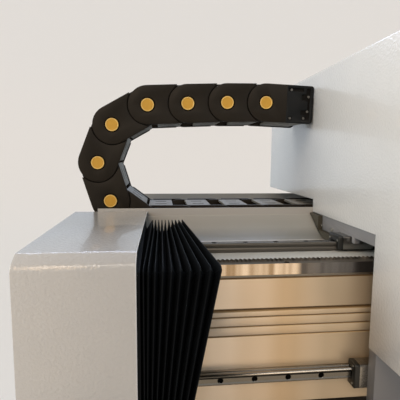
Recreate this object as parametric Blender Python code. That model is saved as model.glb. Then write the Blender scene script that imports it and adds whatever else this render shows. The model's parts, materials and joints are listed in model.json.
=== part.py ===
"""Open gantry laser cutting machine: welded bed, driven beam, carriage with drag chain, and cutting head.

Metres, +Z up. X runs along the beam, Y along the bed. The origin is on the floor, in the middle of the bed.
"""
import math

import bmesh
import bpy
from mathutils import Matrix, Vector

# Clearances and the finish of cuts
GAP = 0.0003
RUN_GAP = 0.0008
CUT_PAST = 0.01
FUSE = 0.0006
ROUND_STEPS = 12
SMALL_STEPS = 8
LARGE_STEPS = 20

# Bed
BED_LENGTH = 4.0
BED_HALF_WIDTH = 1.215
SIDE_BOX_WIDTH = 0.155
SIDE_BOX_HEIGHT = 0.745
FOOT_HEIGHT = 0.10
FOOT_RADIUS = 0.055
FEET_PER_SIDE = 4
FOOT_INSET = 0.20
CROSS_BEAMS = 5
CROSS_BEAM_WIDTH = 0.10
CROSS_BEAM_HEIGHT = 0.12
CROSS_BEAM_DROP = 0.225
CROSS_BEAM_INSET = 0.05
SIDE_POCKETS = 4
POCKET_DEPTH = 0.03
POCKET_TOP_SPACE = 0.205
POCKET_LIFT = 0.20
POCKET_SPACE_SHARE = 0.78
RUNNER_WIDTH = 0.045
RUNNER_HEIGHT = 0.03

# Slat table
SLAT_HEIGHT = 0.09
SLAT_THICK = 0.005
SLAT_PITCH = 0.08
TABLE_HALF_WIDTH = 0.80
TABLE_BAR = 0.03
TABLE_FRONT_SPACE = 0.14
TABLE_REAR_SPACE = 0.60

# Scrap drawers
DRAWER_SIDE_SPACE = 0.04
DRAWER_END_SPACE = 0.08
DRAWER_HEIGHT = 0.20
DRAWER_WALL = 0.005
DRAWER_MIDDLE_SPACE = 0.06
DRAWER_HANDLE_LENGTH = 0.50
DRAWER_HANDLE_THICK = 0.02
DRAWER_HANDLE_REACH = 0.045

# Linear guides: rail width and height, block width and length, block top and underside above the rail's base
BED_RAIL = dict(width=0.023, height=0.022, block_width=0.048, block_length=0.084, top=0.040, under=0.0065)
BEAM_RAIL = dict(width=0.020, height=0.0175, block_width=0.044, block_length=0.0775, top=0.030, under=0.0046)
HEAD_RAIL = dict(width=0.015, height=0.0125, block_width=0.034, block_length=0.060, top=0.024, under=0.0040)
RAIL_CHAMFER_SHARE = 0.12
RAIL_WAIST_SHARES = (0.35, 0.5, 0.65)
BED_RAIL_END_SPACE = 0.10
BED_RAIL_INSET = 0.115
RAIL_HOLE_PITCH = 0.060
RAIL_HOLE_RADIUS = 0.0048
RAIL_HOLE_DEPTH = 0.009
RAIL_HOLE_END = 0.020

# Toothed racks and pinions
MODULE = 0.0025
PINION_TEETH = 16
PRESSURE_ANGLE = math.radians(20)
TOOTH_BACKLASH = 0.0006
ADDENDUM_SHARE = 0.9
DEDENDUM_SHARE = 1.25
RACK_HEIGHT = 0.024
RACK_DEPTH = 0.030
PINION_FACE = 0.024
PINION_SHAFT_RADIUS = 0.009
PINION_HOLE_RADIUS = 0.026
BED_RACK_EDGE_INSET = 0.058
BED_PINION_LIFT = 0.002

# Gantry beam: its front face at rest, and the lip that guards the rack
GANTRY_PARK = 0.390
BEAM_DEPTH = 0.234
BEAM_HEIGHT = 0.260
BEAM_END_INSET = 0.0327
LIP_DEPTH = 0.0147
LIP_DROP = 0.003
LIP_HEIGHT = 0.0204
LIP_HOLE_PITCH = 0.2333
LIP_HOLE_RADIUS = 0.0055
LIP_HOLE_DEPTH = 0.010
GROOVE_DEPTH = 0.006
GROOVE_HEIGHT = 0.006
FACE_BAND = 0.053
RIB_PITCH = 0.017
RIB_COUNT = 3
RIB_GROOVE = 0.0025
RACK_RISE = 0.001
RAIL_Y = 0.076
TRACK_END_INSET = 0.114
FRONT_RAIL_DROP = 0.2025
END_PLATE_THICK = 0.032
END_PLATE_INSET = 0.0107
END_PLATE_WIDTH = 0.140
END_PLATE_REACH = 0.130
YMOTOR_SIDE = 0.076
YMOTOR_HEIGHT = 0.235
YMOTOR_Y = -0.070
GEARBOX_SHARE = 0.30
MOTOR_TOP_SHARE = 0.86
MOTOR_BODY_SHARE = 0.88

# End covers of the beam
COVER_WALL = 0.0025
END_COVER_OVERHANG = 0.0067
END_COVER_WIDTH = 0.158
END_COVER_RISE = 0.0559
END_COVER_REACH = 0.150
END_COVER_BACK = 0.2335
END_COVER_BEND_RUN = 0.022
END_COVER_BEND_DROP = 0.013
END_COVER_CLEARANCE = 0.0136

# Chain tray with its slanted front sheet
TRAY_SHEET = 0.002
TRAY_DEPTH = 0.328
TRAY_WALL_RISE = 0.062
TRAY_FLOOR_DROP = 0.0201
TRAY_END_INSET = 0.016
SLANT_LIP = 0.017
SLANT_RUN = 0.074
SLANT_FOOT = 0.012

# Bellows
PLEATS = 10
PLEAT_DEPTH = 0.022
PLEAT_SKIN = 0.006
BELLOWS_TUCK = 0.006
BELLOWS_START = 0.001
BELLOWS_BACK_Y = 0.122
BELLOWS_TOP_SPAN = (0.013, 0.071)
BELLOWS_FRONT_SPAN = (0.005, 0.106)
BELLOWS_FOOT_SPAN = (0.005, 0.055)
BELLOWS_TOP_DROP = 0.001
BELLOWS_FRONT_DROP = 0.014
BELLOWS_DROP = 0.285
BELLOWS_TOP_FAN = 1.05
BELLOWS_FRONT_FAN = 1.27

# Carriage
CARRIAGE_PARK = 0.510
CARRIAGE_WIDTH = 0.400
SADDLE_INSET = 0.0035
SADDLE_THICK = 0.021
SADDLE_BACK = 0.195
SADDLE_FRONT = 0.100
SADDLE_CHEEK = 0.0105
SADDLE_CHEEK_DROP = 0.011
SADDLE_CHEEK_FRONT = -0.040
SADDLE_CHEEK_BACK = 0.182
SADDLE_LEG = 0.280
SADDLE_NOTCH_MARGIN = 0.004
BLOCK_OVERHANG = 0.020
XMOTOR_X = 0.120
XMOTOR_SIDE = 0.080
XMOTOR_HEIGHT = 0.190
CAR_COVER_FRONT = 0.200
CAR_COVER_BACK = 0.583
CAR_COVER_TOP = 0.3695
CAR_COVER_STEP_SPACE = 0.0015
CAR_COVER_REAR_LOW = 0.081
CAR_COVER_NOSE_BACK = 0.033
CAR_COVER_NOSE_DROP = 0.1475
CAR_COVER_CORNER = 0.010
CAR_COVER_WALL = 0.003

# Head slide and cutting head
SCREW_RADIUS = 0.008
SCREW_LENGTH = 0.300
SCREW_HOLE_RADIUS = 0.0105
ZMOTOR_SIDE = 0.060
ZMOTOR_HEIGHT = 0.170
HEAD_RAIL_SPACE = 0.070
HEAD_RAIL_LENGTH = 0.255
ZPLATE_HALF_WIDTH = 0.095
ZPLATE_THICK = 0.018
ZPLATE_HEIGHT = 0.150
ZPLATE_TOP_DROP = 0.010
NUT_RADIUS = 0.012
NUT_HEIGHT = 0.040
HEAD_HALF_WIDTH = 0.034
HEAD_DEPTH = 0.062
HEAD_TOP_DROP = 0.030
HEAD_HEIGHT = 0.265
HEAD_CORNER = 0.012
NOZZLE_TOP_RADIUS = 0.026
NOZZLE_NECK_RADIUS = 0.015
NOZZLE_TIP_RADIUS = 0.004
NOZZLE_COLLAR = 0.030
NOZZLE_CONE = 0.036
NOZZLE_TIP = 0.012
NOZZLE_BORE = 0.0012
NOZZLE_STEPS = 16
SMOOTH_ANGLE = math.radians(35)

# Drag chain: pitch, link height, widths, and the heading of each link in degrees along its bend
CHAIN_PITCH = 0.090
CHAIN_RADIUS = 0.043
CHAIN_WIDTH = 0.139
CHAIN_OUTER_PLATE = 0.007
CHAIN_INNER_PLATE = 0.007
CHAIN_TONGUE_RADIUS = 0.039
CHAIN_WEB = 0.0034
HOLLOW_HALF_ANGLE = 50
CHAIN_BAR_WIDTH = 0.038
CHAIN_BAR_THICK = 0.006
CHAIN_BAR_INSET = 0.003
CHAIN_CAP_RADIUS = 0.0145
CHAIN_CAP_RISE = 0.0014
CHAIN_NEAR_Y = 0.250
CHAIN_REACH = 0.1134
CHAIN_RISE = 0.3022
CHAIN_HEADINGS = (181.1, 182.5, 183.0, 209.7, 248.7, 287.0, 323.3, 360.0, 360.0, 360.0, 360.0)
CHAIN_BRACKET_TILT = -2.0
CHAIN_BRACKET_LENGTH = 0.1112
CHAIN_BRACKET_CORNER = 0.010
CHAIN_TAIL_LENGTH = 0.105
DISC_STEPS = 7
HOLLOW_STEPS = 3

# Heights and places that follow from the sizes above
BED_TOP = FOOT_HEIGHT + SIDE_BOX_HEIGHT
CROSS_BEAM_TOP = BED_TOP - CROSS_BEAM_DROP
POCKET_HEIGHT = SIDE_BOX_HEIGHT - POCKET_LIFT - POCKET_TOP_SPACE
SLAT_COUNT = int((BED_LENGTH - TABLE_FRONT_SPACE - TABLE_REAR_SPACE) / SLAT_PITCH)
TABLE_START_Y = TABLE_FRONT_SPACE - BED_LENGTH / 2
DRAWER_HALF_WIDTH = BED_HALF_WIDTH - SIDE_BOX_WIDTH - DRAWER_SIDE_SPACE
DRAWER_LENGTH = BED_LENGTH / 2 - DRAWER_MIDDLE_SPACE - DRAWER_END_SPACE
BED_RAIL_LENGTH = BED_LENGTH - 2 * BED_RAIL_END_SPACE
BED_RAIL_X = BED_HALF_WIDTH - BED_RAIL_INSET
BED_RACK_EDGE_X = BED_HALF_WIDTH - BED_RACK_EDGE_INSET
END_COVER_OUTER = BED_HALF_WIDTH + END_COVER_OVERHANG
END_PLATE_OUTER = END_COVER_OUTER - END_PLATE_INSET
END_PLATE_INNER = END_PLATE_OUTER - END_PLATE_WIDTH
BEAM_HALF_LENGTH = END_COVER_OUTER - BEAM_END_INSET
TRACK_HALF_LENGTH = BEAM_HALF_LENGTH - TRACK_END_INSET
TRAY_HALF_LENGTH = BEAM_HALF_LENGTH - TRAY_END_INSET
BEAM_FRONT_Y = GANTRY_PARK - BED_LENGTH / 2
CARRIAGE_LEFT_X = CARRIAGE_PARK - BEAM_HALF_LENGTH
PLATE_BASE = BED_TOP + BED_RAIL["top"]
BEAM_BASE = PLATE_BASE + END_PLATE_THICK
BEAM_TOP = BEAM_BASE + BEAM_HEIGHT
BEAM_BACK_Y = BEAM_FRONT_Y + BEAM_DEPTH
PITCH = math.pi * MODULE
PINION_RADIUS = MODULE * PINION_TEETH / 2
ADDENDUM = MODULE * ADDENDUM_SHARE
DEDENDUM = MODULE * DEDENDUM_SHARE
CARRIAGE_RIGHT_X = CARRIAGE_LEFT_X + CARRIAGE_WIDTH
CARRIAGE_X = CARRIAGE_LEFT_X + CARRIAGE_WIDTH / 2
SADDLE_BASE = BEAM_TOP + BEAM_RAIL["top"] + GAP
SADDLE_TOP = SADDLE_BASE + SADDLE_THICK
RACK_TIP_Y = BEAM_FRONT_Y + LIP_DEPTH + GAP
XPINION_Y = RACK_TIP_Y + ADDENDUM - PINION_RADIUS
XPINION_X = CARRIAGE_LEFT_X + XMOTOR_X
SADDLE_LEG_FRONT_Y = BEAM_FRONT_Y - BEAM_RAIL["top"] - GAP - SADDLE_THICK
SCREW_Y = SADDLE_LEG_FRONT_Y - HEAD_RAIL["top"] / 2 - GAP
SLAT_TOP = CROSS_BEAM_TOP + GAP + SLAT_HEIGHT


def clear_scene():
    """Removes whatever the file opened with."""
    for item in list(bpy.data.objects):
        bpy.data.objects.remove(item, do_unlink=True)


def finish(name, colour, roughness, metallic):
    """Returns a Principled material."""
    material = bpy.data.materials.new(name)
    material.use_nodes = True
    shader = material.node_tree.nodes["Principled BSDF"]
    shader.inputs["Base Color"].default_value = (*colour, 1)
    shader.inputs["Roughness"].default_value = roughness
    shader.inputs["Metallic"].default_value = metallic
    return material


WHITE = ((0.62, 0.63, 0.62), 0.35, 0)
BEIGE = ((0.40, 0.38, 0.35), 0.4, 0)
STEEL = ((0.42, 0.42, 0.41), 0.35, 1)
ALUMINIUM = ((0.60, 0.56, 0.51), 0.4, 1)
BLACK = ((0.02, 0.019, 0.018), 0.5, 0)
DARK_CLOTH = ((0.006, 0.009, 0.014), 0.7, 0)
GREY_PAINT = ((0.16, 0.16, 0.15), 0.45, 0)


def add_object(name, mesh, look):
    """Links a mesh into the scene under its node name, with a material of its own."""
    thing = bpy.data.objects.new(name, mesh)
    bpy.context.scene.collection.objects.link(thing)
    mesh.materials.append(finish(name + "_finish", *look))
    return thing


def mesh_from(shape, name):
    """Turns a bmesh into a mesh with outward faces."""
    bmesh.ops.recalc_face_normals(shape, faces=shape.faces)
    mesh = bpy.data.meshes.new(name)
    shape.to_mesh(mesh)
    shape.free()
    return mesh


def add_box(shape, low, high):
    """Adds a box between two corners to a bmesh."""
    made = bmesh.ops.create_cube(shape, size=1)["verts"]
    low, high = Vector(low), Vector(high)
    size = high - low
    bmesh.ops.scale(shape, vec=size, verts=made)
    bmesh.ops.translate(shape, vec=(low + high) / 2, verts=made)


def place_on(axis, u, v, along):
    """A point whose outline coordinates are u and v and whose place along the axis is given."""
    if axis == "X":
        return Vector((along, u, v))
    if axis == "Y":
        return Vector((u, along, v))
    return Vector((u, v, along))


def add_prism(shape, outline, axis, start, end):
    """Adds an outline extruded along X, Y or Z to a bmesh."""
    corners = [shape.verts.new(place_on(axis, u, v, start)) for u, v in outline]
    face = shape.faces.new(corners)
    moved = bmesh.ops.extrude_face_region(shape, geom=[face])["geom"]
    tops = [item for item in moved if isinstance(item, bmesh.types.BMVert)]
    step = place_on(axis, 0, 0, end) - place_on(axis, 0, 0, start)
    bmesh.ops.translate(shape, vec=step, verts=tops)


def add_round(shape, centre, axis, radius, end_radius, length, steps=ROUND_STEPS):
    """Adds a cylinder or cone that starts at centre and runs along +X, +Y or +Z, or down for a minus length."""
    turn = {"X": Matrix.Rotation(math.pi / 2, 4, "Y"), "Y": Matrix.Rotation(-math.pi / 2, 4, "X"),
            "Z": Matrix.Identity(4)}[axis]
    middle = Vector(centre) + place_on(axis, 0, 0, length / 2)
    low, high = (radius, end_radius) if length > 0 else (end_radius, radius)
    bmesh.ops.create_cone(shape, cap_ends=True, segments=steps, radius1=low, radius2=high,
                          depth=abs(length), matrix=Matrix.Translation(middle) @ turn)


def box_object(name, low, high, look):
    """One box as an object."""
    shape = bmesh.new()
    add_box(shape, low, high)
    return add_object(name, mesh_from(shape, name), look)


def prism_object(name, outline, axis, start, end, look):
    """One extruded outline as an object."""
    shape = bmesh.new()
    add_prism(shape, outline, axis, start, end)
    return add_object(name, mesh_from(shape, name), look)


def combine(thing, other, operation):
    """Joins another object to a thing or cuts it away, and removes the other object."""
    step = thing.modifiers.new(operation.lower(), "BOOLEAN")
    step.operation = operation
    step.solver = "EXACT"
    step.object = other
    bpy.context.view_layer.update()
    graph = bpy.context.evaluated_depsgraph_get()
    result = bpy.data.meshes.new_from_object(thing.evaluated_get(graph))
    thing.modifiers.remove(step)
    old = thing.data
    thing.data = result
    bpy.data.meshes.remove(old)
    bpy.data.objects.remove(other, do_unlink=True)


def helper(build):
    """A temporary object whose mesh the given function fills."""
    shape = bmesh.new()
    build(shape)
    tool = bpy.data.objects.new("tool", mesh_from(shape, "tool"))
    tool.hide_render = True
    tool.display_type = "WIRE"
    bpy.context.scene.collection.objects.link(tool)
    return tool


def cut(thing, build):
    """Cuts away the shape that the function builds."""
    combine(thing, helper(build), "DIFFERENCE")


def fuse(thing, build):
    """Joins on the shape that the function builds."""
    combine(thing, helper(build), "UNION")


def evenly(count, low, high):
    """Places spread evenly from low to high."""
    return [low + (high - low) * i / (count - 1) for i in range(count)]


def arc(centre, radius, start, end, steps):
    """Points on an arc, angles in degrees."""
    turns = [math.radians(start + (end - start) * i / steps) for i in range(steps + 1)]
    return [(centre[0] + radius * math.cos(t), centre[1] + radius * math.sin(t)) for t in turns]


def make_bed():
    """The welded bed: two long side boxes on feet, joined by cross beams, with runners for the drawers."""
    inner = BED_HALF_WIDTH - SIDE_BOX_WIDTH
    half = BED_LENGTH / 2
    bed = box_object("bed_frame", (-BED_HALF_WIDTH, -half, FOOT_HEIGHT), (-inner, half, BED_TOP), GREY_PAINT)
    fuse(bed, lambda s: add_box(s, (inner, -half, FOOT_HEIGHT), (BED_HALF_WIDTH, half, BED_TOP)))
    reach = half - CROSS_BEAM_INSET - CROSS_BEAM_WIDTH / 2

    def cross_beams(shape):
        for y in evenly(CROSS_BEAMS, -reach, reach):
            add_box(shape, (-inner - CUT_PAST, y - CROSS_BEAM_WIDTH / 2, CROSS_BEAM_TOP - CROSS_BEAM_HEIGHT),
                    (inner + CUT_PAST, y + CROSS_BEAM_WIDTH / 2, CROSS_BEAM_TOP))

    def runners(shape):
        top = CROSS_BEAM_TOP - CROSS_BEAM_HEIGHT - DRAWER_HEIGHT - 2 * GAP
        for side in (-1, 1):
            ends = sorted((side * (inner + CUT_PAST), side * (inner - RUNNER_WIDTH)))
            add_box(shape, (ends[0], -half, top - RUNNER_HEIGHT), (ends[1], half, top))

    def feet(shape):
        for side in (-1, 1):
            for y in evenly(FEET_PER_SIDE, FOOT_INSET - half, half - FOOT_INSET):
                centre = (side * (BED_HALF_WIDTH - SIDE_BOX_WIDTH / 2), y, 0)
                add_round(shape, centre, "Z", FOOT_RADIUS, FOOT_RADIUS, FOOT_HEIGHT + CUT_PAST)

    def pockets(shape):
        space = BED_LENGTH / SIDE_POCKETS
        low = FOOT_HEIGHT + POCKET_LIFT
        for side in (-1, 1):
            ends = sorted((side * (BED_HALF_WIDTH + CUT_PAST), side * (BED_HALF_WIDTH - POCKET_DEPTH)))
            for i in range(SIDE_POCKETS):
                y = (i + 0.5) * space - half
                add_box(shape, (ends[0], y - space * POCKET_SPACE_SHARE / 2, low),
                        (ends[1], y + space * POCKET_SPACE_SHARE / 2, low + POCKET_HEIGHT))

    for build in (cross_beams, runners, feet):
        fuse(bed, build)
    cut(bed, pockets)


def make_table():
    """The slat table: a bar frame with its upright slats in one grid."""
    length = SLAT_COUNT * SLAT_PITCH + 2 * TABLE_BAR
    low = (-TABLE_HALF_WIDTH, TABLE_START_Y, SLAT_TOP - SLAT_HEIGHT)
    table = box_object("slat_table", low, (TABLE_HALF_WIDTH, TABLE_START_Y + length, SLAT_TOP), STEEL)

    def gaps(shape):
        for i in range(SLAT_COUNT):
            y = TABLE_START_Y + TABLE_BAR + i * SLAT_PITCH
            add_box(shape, (TABLE_BAR - TABLE_HALF_WIDTH, y + SLAT_THICK / 2, low[2] - CUT_PAST),
                    (TABLE_HALF_WIDTH - TABLE_BAR, y + SLAT_PITCH - SLAT_THICK / 2, SLAT_TOP + CUT_PAST))

    cut(table, gaps)


def make_drawer(name, side):
    """An open scrap drawer that pulls out of the bed's end on the given side of Y."""
    top = CROSS_BEAM_TOP - CROSS_BEAM_HEIGHT - GAP
    base = top - DRAWER_HEIGHT
    near, far = side * DRAWER_MIDDLE_SPACE, side * (DRAWER_MIDDLE_SPACE + DRAWER_LENGTH)
    low_y, high_y = min(near, far), max(near, far)
    drawer = box_object(name, (-DRAWER_HALF_WIDTH, low_y, base), (DRAWER_HALF_WIDTH, high_y, top), BEIGE)
    inner = DRAWER_HALF_WIDTH - DRAWER_WALL
    cut(drawer, lambda s: add_box(s, (-inner, low_y + DRAWER_WALL, base + DRAWER_WALL),
                                  (inner, high_y - DRAWER_WALL, top + CUT_PAST)))
    half, thick = DRAWER_HANDLE_LENGTH / 2, DRAWER_HANDLE_THICK
    front = far + side * DRAWER_HANDLE_REACH
    wall = far - side * DRAWER_WALL / 2
    outline = [(-half, wall), (thick - half, wall), (thick - half, front - side * thick),
               (half - thick, front - side * thick), (half - thick, wall), (half, wall),
               (half, front), (-half, front)]
    middle = (base + top) / 2
    fuse(drawer, lambda s: add_prism(s, outline, "Z", middle - thick / 2, middle + thick / 2))


def rail_outline(size, u, base, facing=1):
    """A rail's section: its middle u, its base, and +1 or -1 for the way it stands off the base."""
    half, tall = size["width"] / 2, size["height"] * facing
    nick = size["width"] * RAIL_CHAMFER_SHARE
    waist = half - nick
    foot, neck, head = (base + share * tall for share in RAIL_WAIST_SHARES)
    right = [(u + half, base), (u + half, foot), (u + waist, neck), (u + half, head),
             (u + half, base + tall - nick * facing), (u + waist, base + tall)]
    return right + [(2 * u - v, z) for v, z in reversed(right)]


def block_outline(size, u, base, facing=1):
    """A guide block's section with the channel that runs over its rail."""
    half, slot = size["block_width"] / 2, size["width"] / 2 + RUN_GAP
    low, high = base + size["under"] * facing, base + size["top"] * facing
    roof = base + (size["height"] + RUN_GAP) * facing
    nick = size["width"] * RAIL_CHAMFER_SHARE * facing
    return [(u - half, low), (u - slot, low), (u - slot, roof), (u + slot, roof), (u + slot, low),
            (u + half, low), (u + half, high - nick), (u + half - abs(nick), high),
            (u - half + abs(nick), high), (u - half, high - nick)]


def pinion_outline(centre, phase):
    """A pinion's tooth outline with its tooth zero pointing along the phase angle, in radians."""
    tip, root = PINION_RADIUS + ADDENDUM, PINION_RADIUS - DEDENDUM
    half_pitch = (PITCH / 2 - TOOTH_BACKLASH) / 2 / PINION_RADIUS
    involute = math.tan(PRESSURE_ANGLE) - PRESSURE_ANGLE
    tip_angle = math.acos(PINION_RADIUS * math.cos(PRESSURE_ANGLE) / tip)
    half_tip = half_pitch + involute - (math.tan(tip_angle) - tip_angle)
    half_root = half_pitch + involute
    points = []
    for i in range(PINION_TEETH):
        middle = phase + 2 * math.pi * i / PINION_TEETH
        for radius, offset in ((root, -half_root), (PINION_RADIUS, -half_pitch), (tip, -half_tip),
                               (tip, half_tip), (PINION_RADIUS, half_pitch), (root, half_root)):
            turn = middle + offset
            points.append((centre[0] + radius * math.cos(turn), centre[1] + radius * math.sin(turn)))
    return points


def make_pinion(name, centre, base, top, phase):
    """A pinion on its shaft, with its axis at the object's origin."""
    shape = bmesh.new()
    add_prism(shape, pinion_outline((0, 0), phase), "Z", base, base + PINION_FACE)
    pinion = add_object(name, mesh_from(shape, name), STEEL)
    face = base + PINION_FACE
    fuse(pinion, lambda s: add_round(s, (0, 0, face - CUT_PAST), "Z", PINION_SHAFT_RADIUS, PINION_SHAFT_RADIUS,
                                     top - face + CUT_PAST))
    pinion.location = (centre[0], centre[1], 0)
    return pinion


def make_bed_tracks():
    """The bed's two rails and racks. A rack's bar ends at its tooth roots, and its teeth are a surface detail."""
    base = BED_TOP + GAP
    half = BED_RAIL_LENGTH / 2
    for word, side in (("left", -1), ("right", 1)):
        prism_object(f"bed_rail_{word}", rail_outline(BED_RAIL, side * BED_RAIL_X, base), "Y", -half, half, STEEL)
        ends = sorted((side * (BED_RACK_EDGE_X - RACK_DEPTH), side * (BED_RACK_EDGE_X - ADDENDUM - DEDENDUM)))
        box_object(f"bed_rack_{word}", (ends[0], -half, base), (ends[1], half, base + RACK_HEIGHT), STEEL)


def beam_outline():
    """The beam's section: grooved front face, the lip and seat of the rack, and a plain top and back."""
    front, back = BEAM_FRONT_Y, BEAM_BACK_Y
    lip_top = BEAM_TOP - LIP_DROP
    lip_low = lip_top - LIP_HEIGHT
    band_top = lip_low - GROOVE_HEIGHT
    band_low = band_top - FACE_BAND
    seat = BEAM_TOP + RACK_RISE - RACK_HEIGHT - GAP
    points = [(back, BEAM_BASE), (back, BEAM_TOP), (front + LIP_DEPTH + RACK_DEPTH + 2 * GAP, BEAM_TOP),
              (front + LIP_DEPTH + RACK_DEPTH + 2 * GAP, seat), (front + LIP_DEPTH, seat),
              (front + LIP_DEPTH, lip_top), (front, lip_top), (front, lip_low), (front + GROOVE_DEPTH, lip_low),
              (front + GROOVE_DEPTH, band_top), (front, band_top), (front, band_low),
              (front + GROOVE_DEPTH, band_low - GROOVE_HEIGHT / 2), (front, band_low - GROOVE_HEIGHT)]
    for i in range(RIB_COUNT):
        z = band_low - GROOVE_HEIGHT - (i + 0.5) * RIB_PITCH
        points += [(front, z), (front + RIB_GROOVE, z - RIB_GROOVE / 2), (front, z - RIB_GROOVE)]
    return points + [(front, BEAM_BASE)]


def make_beam():
    """The gantry beam with the counterbored holes of its lip."""
    beam = prism_object("gantry_beam", beam_outline(), "X", -BEAM_HALF_LENGTH, BEAM_HALF_LENGTH, ALUMINIUM)
    lip_top = BEAM_TOP - LIP_DROP

    def holes(shape):
        count = int(2 * TRACK_HALF_LENGTH / LIP_HOLE_PITCH) - 1
        for i in range(count):
            x = (i - (count - 1) / 2) * LIP_HOLE_PITCH
            add_round(shape, (x, BEAM_FRONT_Y + LIP_DEPTH / 2, lip_top + CUT_PAST), "Z", LIP_HOLE_RADIUS,
                      LIP_HOLE_RADIUS, -(LIP_HOLE_DEPTH + CUT_PAST), SMALL_STEPS)

    cut(beam, holes)


def make_beam_tracks():
    """The beam's top rail with its screw holes, its front rail, and the toothed rack behind the lip."""
    half = TRACK_HALF_LENGTH
    base = BEAM_TOP + GAP
    y = BEAM_FRONT_Y + RAIL_Y
    top = prism_object("beam_rail_top", rail_outline(BEAM_RAIL, y, base), "X", -half, half, STEEL)
    count = int((2 * half - RAIL_HOLE_END) / RAIL_HOLE_PITCH) + 1
    face = base + BEAM_RAIL["height"]

    def holes(shape):
        for i in range(count):
            x = RAIL_HOLE_END - half + i * RAIL_HOLE_PITCH
            add_round(shape, (x, y, face + CUT_PAST), "Z", RAIL_HOLE_RADIUS, RAIL_HOLE_RADIUS,
                      -(RAIL_HOLE_DEPTH + CUT_PAST), SMALL_STEPS)

    cut(top, holes)
    section = rail_outline(BEAM_RAIL, BEAM_TOP - FRONT_RAIL_DROP, BEAM_FRONT_Y - GAP, -1)
    prism_object("beam_rail_front", [(v, u) for u, v in section], "X", -half, half, STEEL)
    low = BEAM_TOP + RACK_RISE - RACK_HEIGHT
    prism_object("beam_rack", rack_outline(half), "Z", low, low + RACK_HEIGHT, STEEL)


def rack_outline(half):
    """The rack seen from above, its teeth towards -Y, with a tooth gap in front of the pinion's middle."""
    tip_y = RACK_TIP_Y
    root_y = tip_y + ADDENDUM + DEDENDUM
    slope = math.tan(PRESSURE_ANGLE)
    middle_half = (PITCH / 2 - TOOTH_BACKLASH) / 2
    tip_half, root_half = middle_half - ADDENDUM * slope, middle_half + DEDENDUM * slope
    points = [(half, tip_y + RACK_DEPTH), (-half, tip_y + RACK_DEPTH), (-half, root_y)]
    first = math.ceil((-half + root_half - XPINION_X) / PITCH + 0.5)
    last = math.floor((half - root_half - XPINION_X) / PITCH - 0.5)
    for i in range(first, last + 1):
        x = XPINION_X + (i + 0.5) * PITCH
        points += [(x - root_half, root_y), (x - tip_half, tip_y), (x + tip_half, tip_y), (x + root_half, root_y)]
    return points + [(half, root_y)]


def make_gantry_ends():
    """What carries the beam at each end: plate, guide blocks, and the drive motor beside the beam."""
    for word, side in (("left", -1), ("right", 1)):
        ends = sorted((side * END_PLATE_INNER, side * END_PLATE_OUTER))
        pinion_x = side * (BED_RACK_EDGE_X - ADDENDUM + PINION_RADIUS)
        pinion_y = BEAM_FRONT_Y + YMOTOR_Y
        front = BEAM_FRONT_Y - END_PLATE_REACH
        low, high = PLATE_BASE + GAP, BEAM_BASE - GAP
        plate = box_object(f"end_plate_{word}", (ends[0], front, low), (ends[1], BEAM_BACK_Y, high), ALUMINIUM)
        cut(plate, lambda s: add_round(s, (pinion_x, pinion_y, low - CUT_PAST), "Z", PINION_HOLE_RADIUS,
                                       PINION_HOLE_RADIUS, END_PLATE_THICK + 2 * CUT_PAST, LARGE_STEPS))
        length = BED_RAIL["block_length"]
        section = block_outline(BED_RAIL, side * BED_RAIL_X, BED_TOP + GAP)
        for place, y in (("front", front + SADDLE_NOTCH_MARGIN),
                         ("rear", BEAM_BACK_Y - length - SADDLE_NOTCH_MARGIN)):
            prism_object(f"bed_block_{word}_{place}", section, "Y", y, y + length, BLACK)
        half = YMOTOR_SIDE / 2
        make_motor(f"bed_motor_{word}", (pinion_x, pinion_y), half, high + GAP, YMOTOR_HEIGHT)
        phase = math.pi if side > 0 else 0
        make_pinion(f"bed_pinion_{word}", (pinion_x, pinion_y), BED_TOP + BED_PINION_LIFT, high, phase)


def make_motor(name, centre, half, base, height):
    """A square servo motor on its gearbox, standing upright, with a smaller round cap on top."""
    gearbox = height * GEARBOX_SHARE
    motor = box_object(name, (centre[0] - half, centre[1] - half, base),
                       (centre[0] + half, centre[1] + half, base + gearbox), BLACK)
    body = half * MOTOR_BODY_SHARE
    top = base + height * MOTOR_TOP_SHARE
    fuse(motor, lambda s: add_box(s, (centre[0] - body, centre[1] - body, base + gearbox - CUT_PAST),
                                  (centre[0] + body, centre[1] + body, top)))
    cap = body * MOTOR_BODY_SHARE
    fuse(motor, lambda s: add_round(s, (centre[0], centre[1], top - CUT_PAST), "Z", cap, cap,
                                    base + height - top + CUT_PAST))


def make_end_cover(word, side):
    """A folded sheet cover over the beam's end: top, sloped front edge, front and outer side."""
    top = BEAM_TOP + END_COVER_RISE
    low = BED_TOP + RACK_HEIGHT + END_COVER_CLEARANCE
    front, back = BEAM_FRONT_Y - END_COVER_REACH, BEAM_FRONT_Y + END_COVER_BACK
    run, drop, wall = END_COVER_BEND_RUN, END_COVER_BEND_DROP, COVER_WALL
    outline = [(front, low), (front, top - drop), (front + run, top), (back, top), (back, low)]
    ends = sorted((side * END_COVER_OUTER, side * (END_COVER_OUTER - END_COVER_WIDTH)))
    cover = prism_object(f"end_cover_{word}", outline, "X", ends[0], ends[1], WHITE)
    inside = [(front + wall, low - CUT_PAST), (front + wall, top - drop - wall / 2),
              (front + run + wall / 2, top - wall), (back + CUT_PAST, top - wall), (back + CUT_PAST, low - CUT_PAST)]
    room = sorted((side * (END_COVER_OUTER - wall), side * (END_COVER_OUTER - END_COVER_WIDTH - CUT_PAST)))
    cut(cover, lambda s: add_prism(s, inside, "X", room[0], room[1]))


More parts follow.
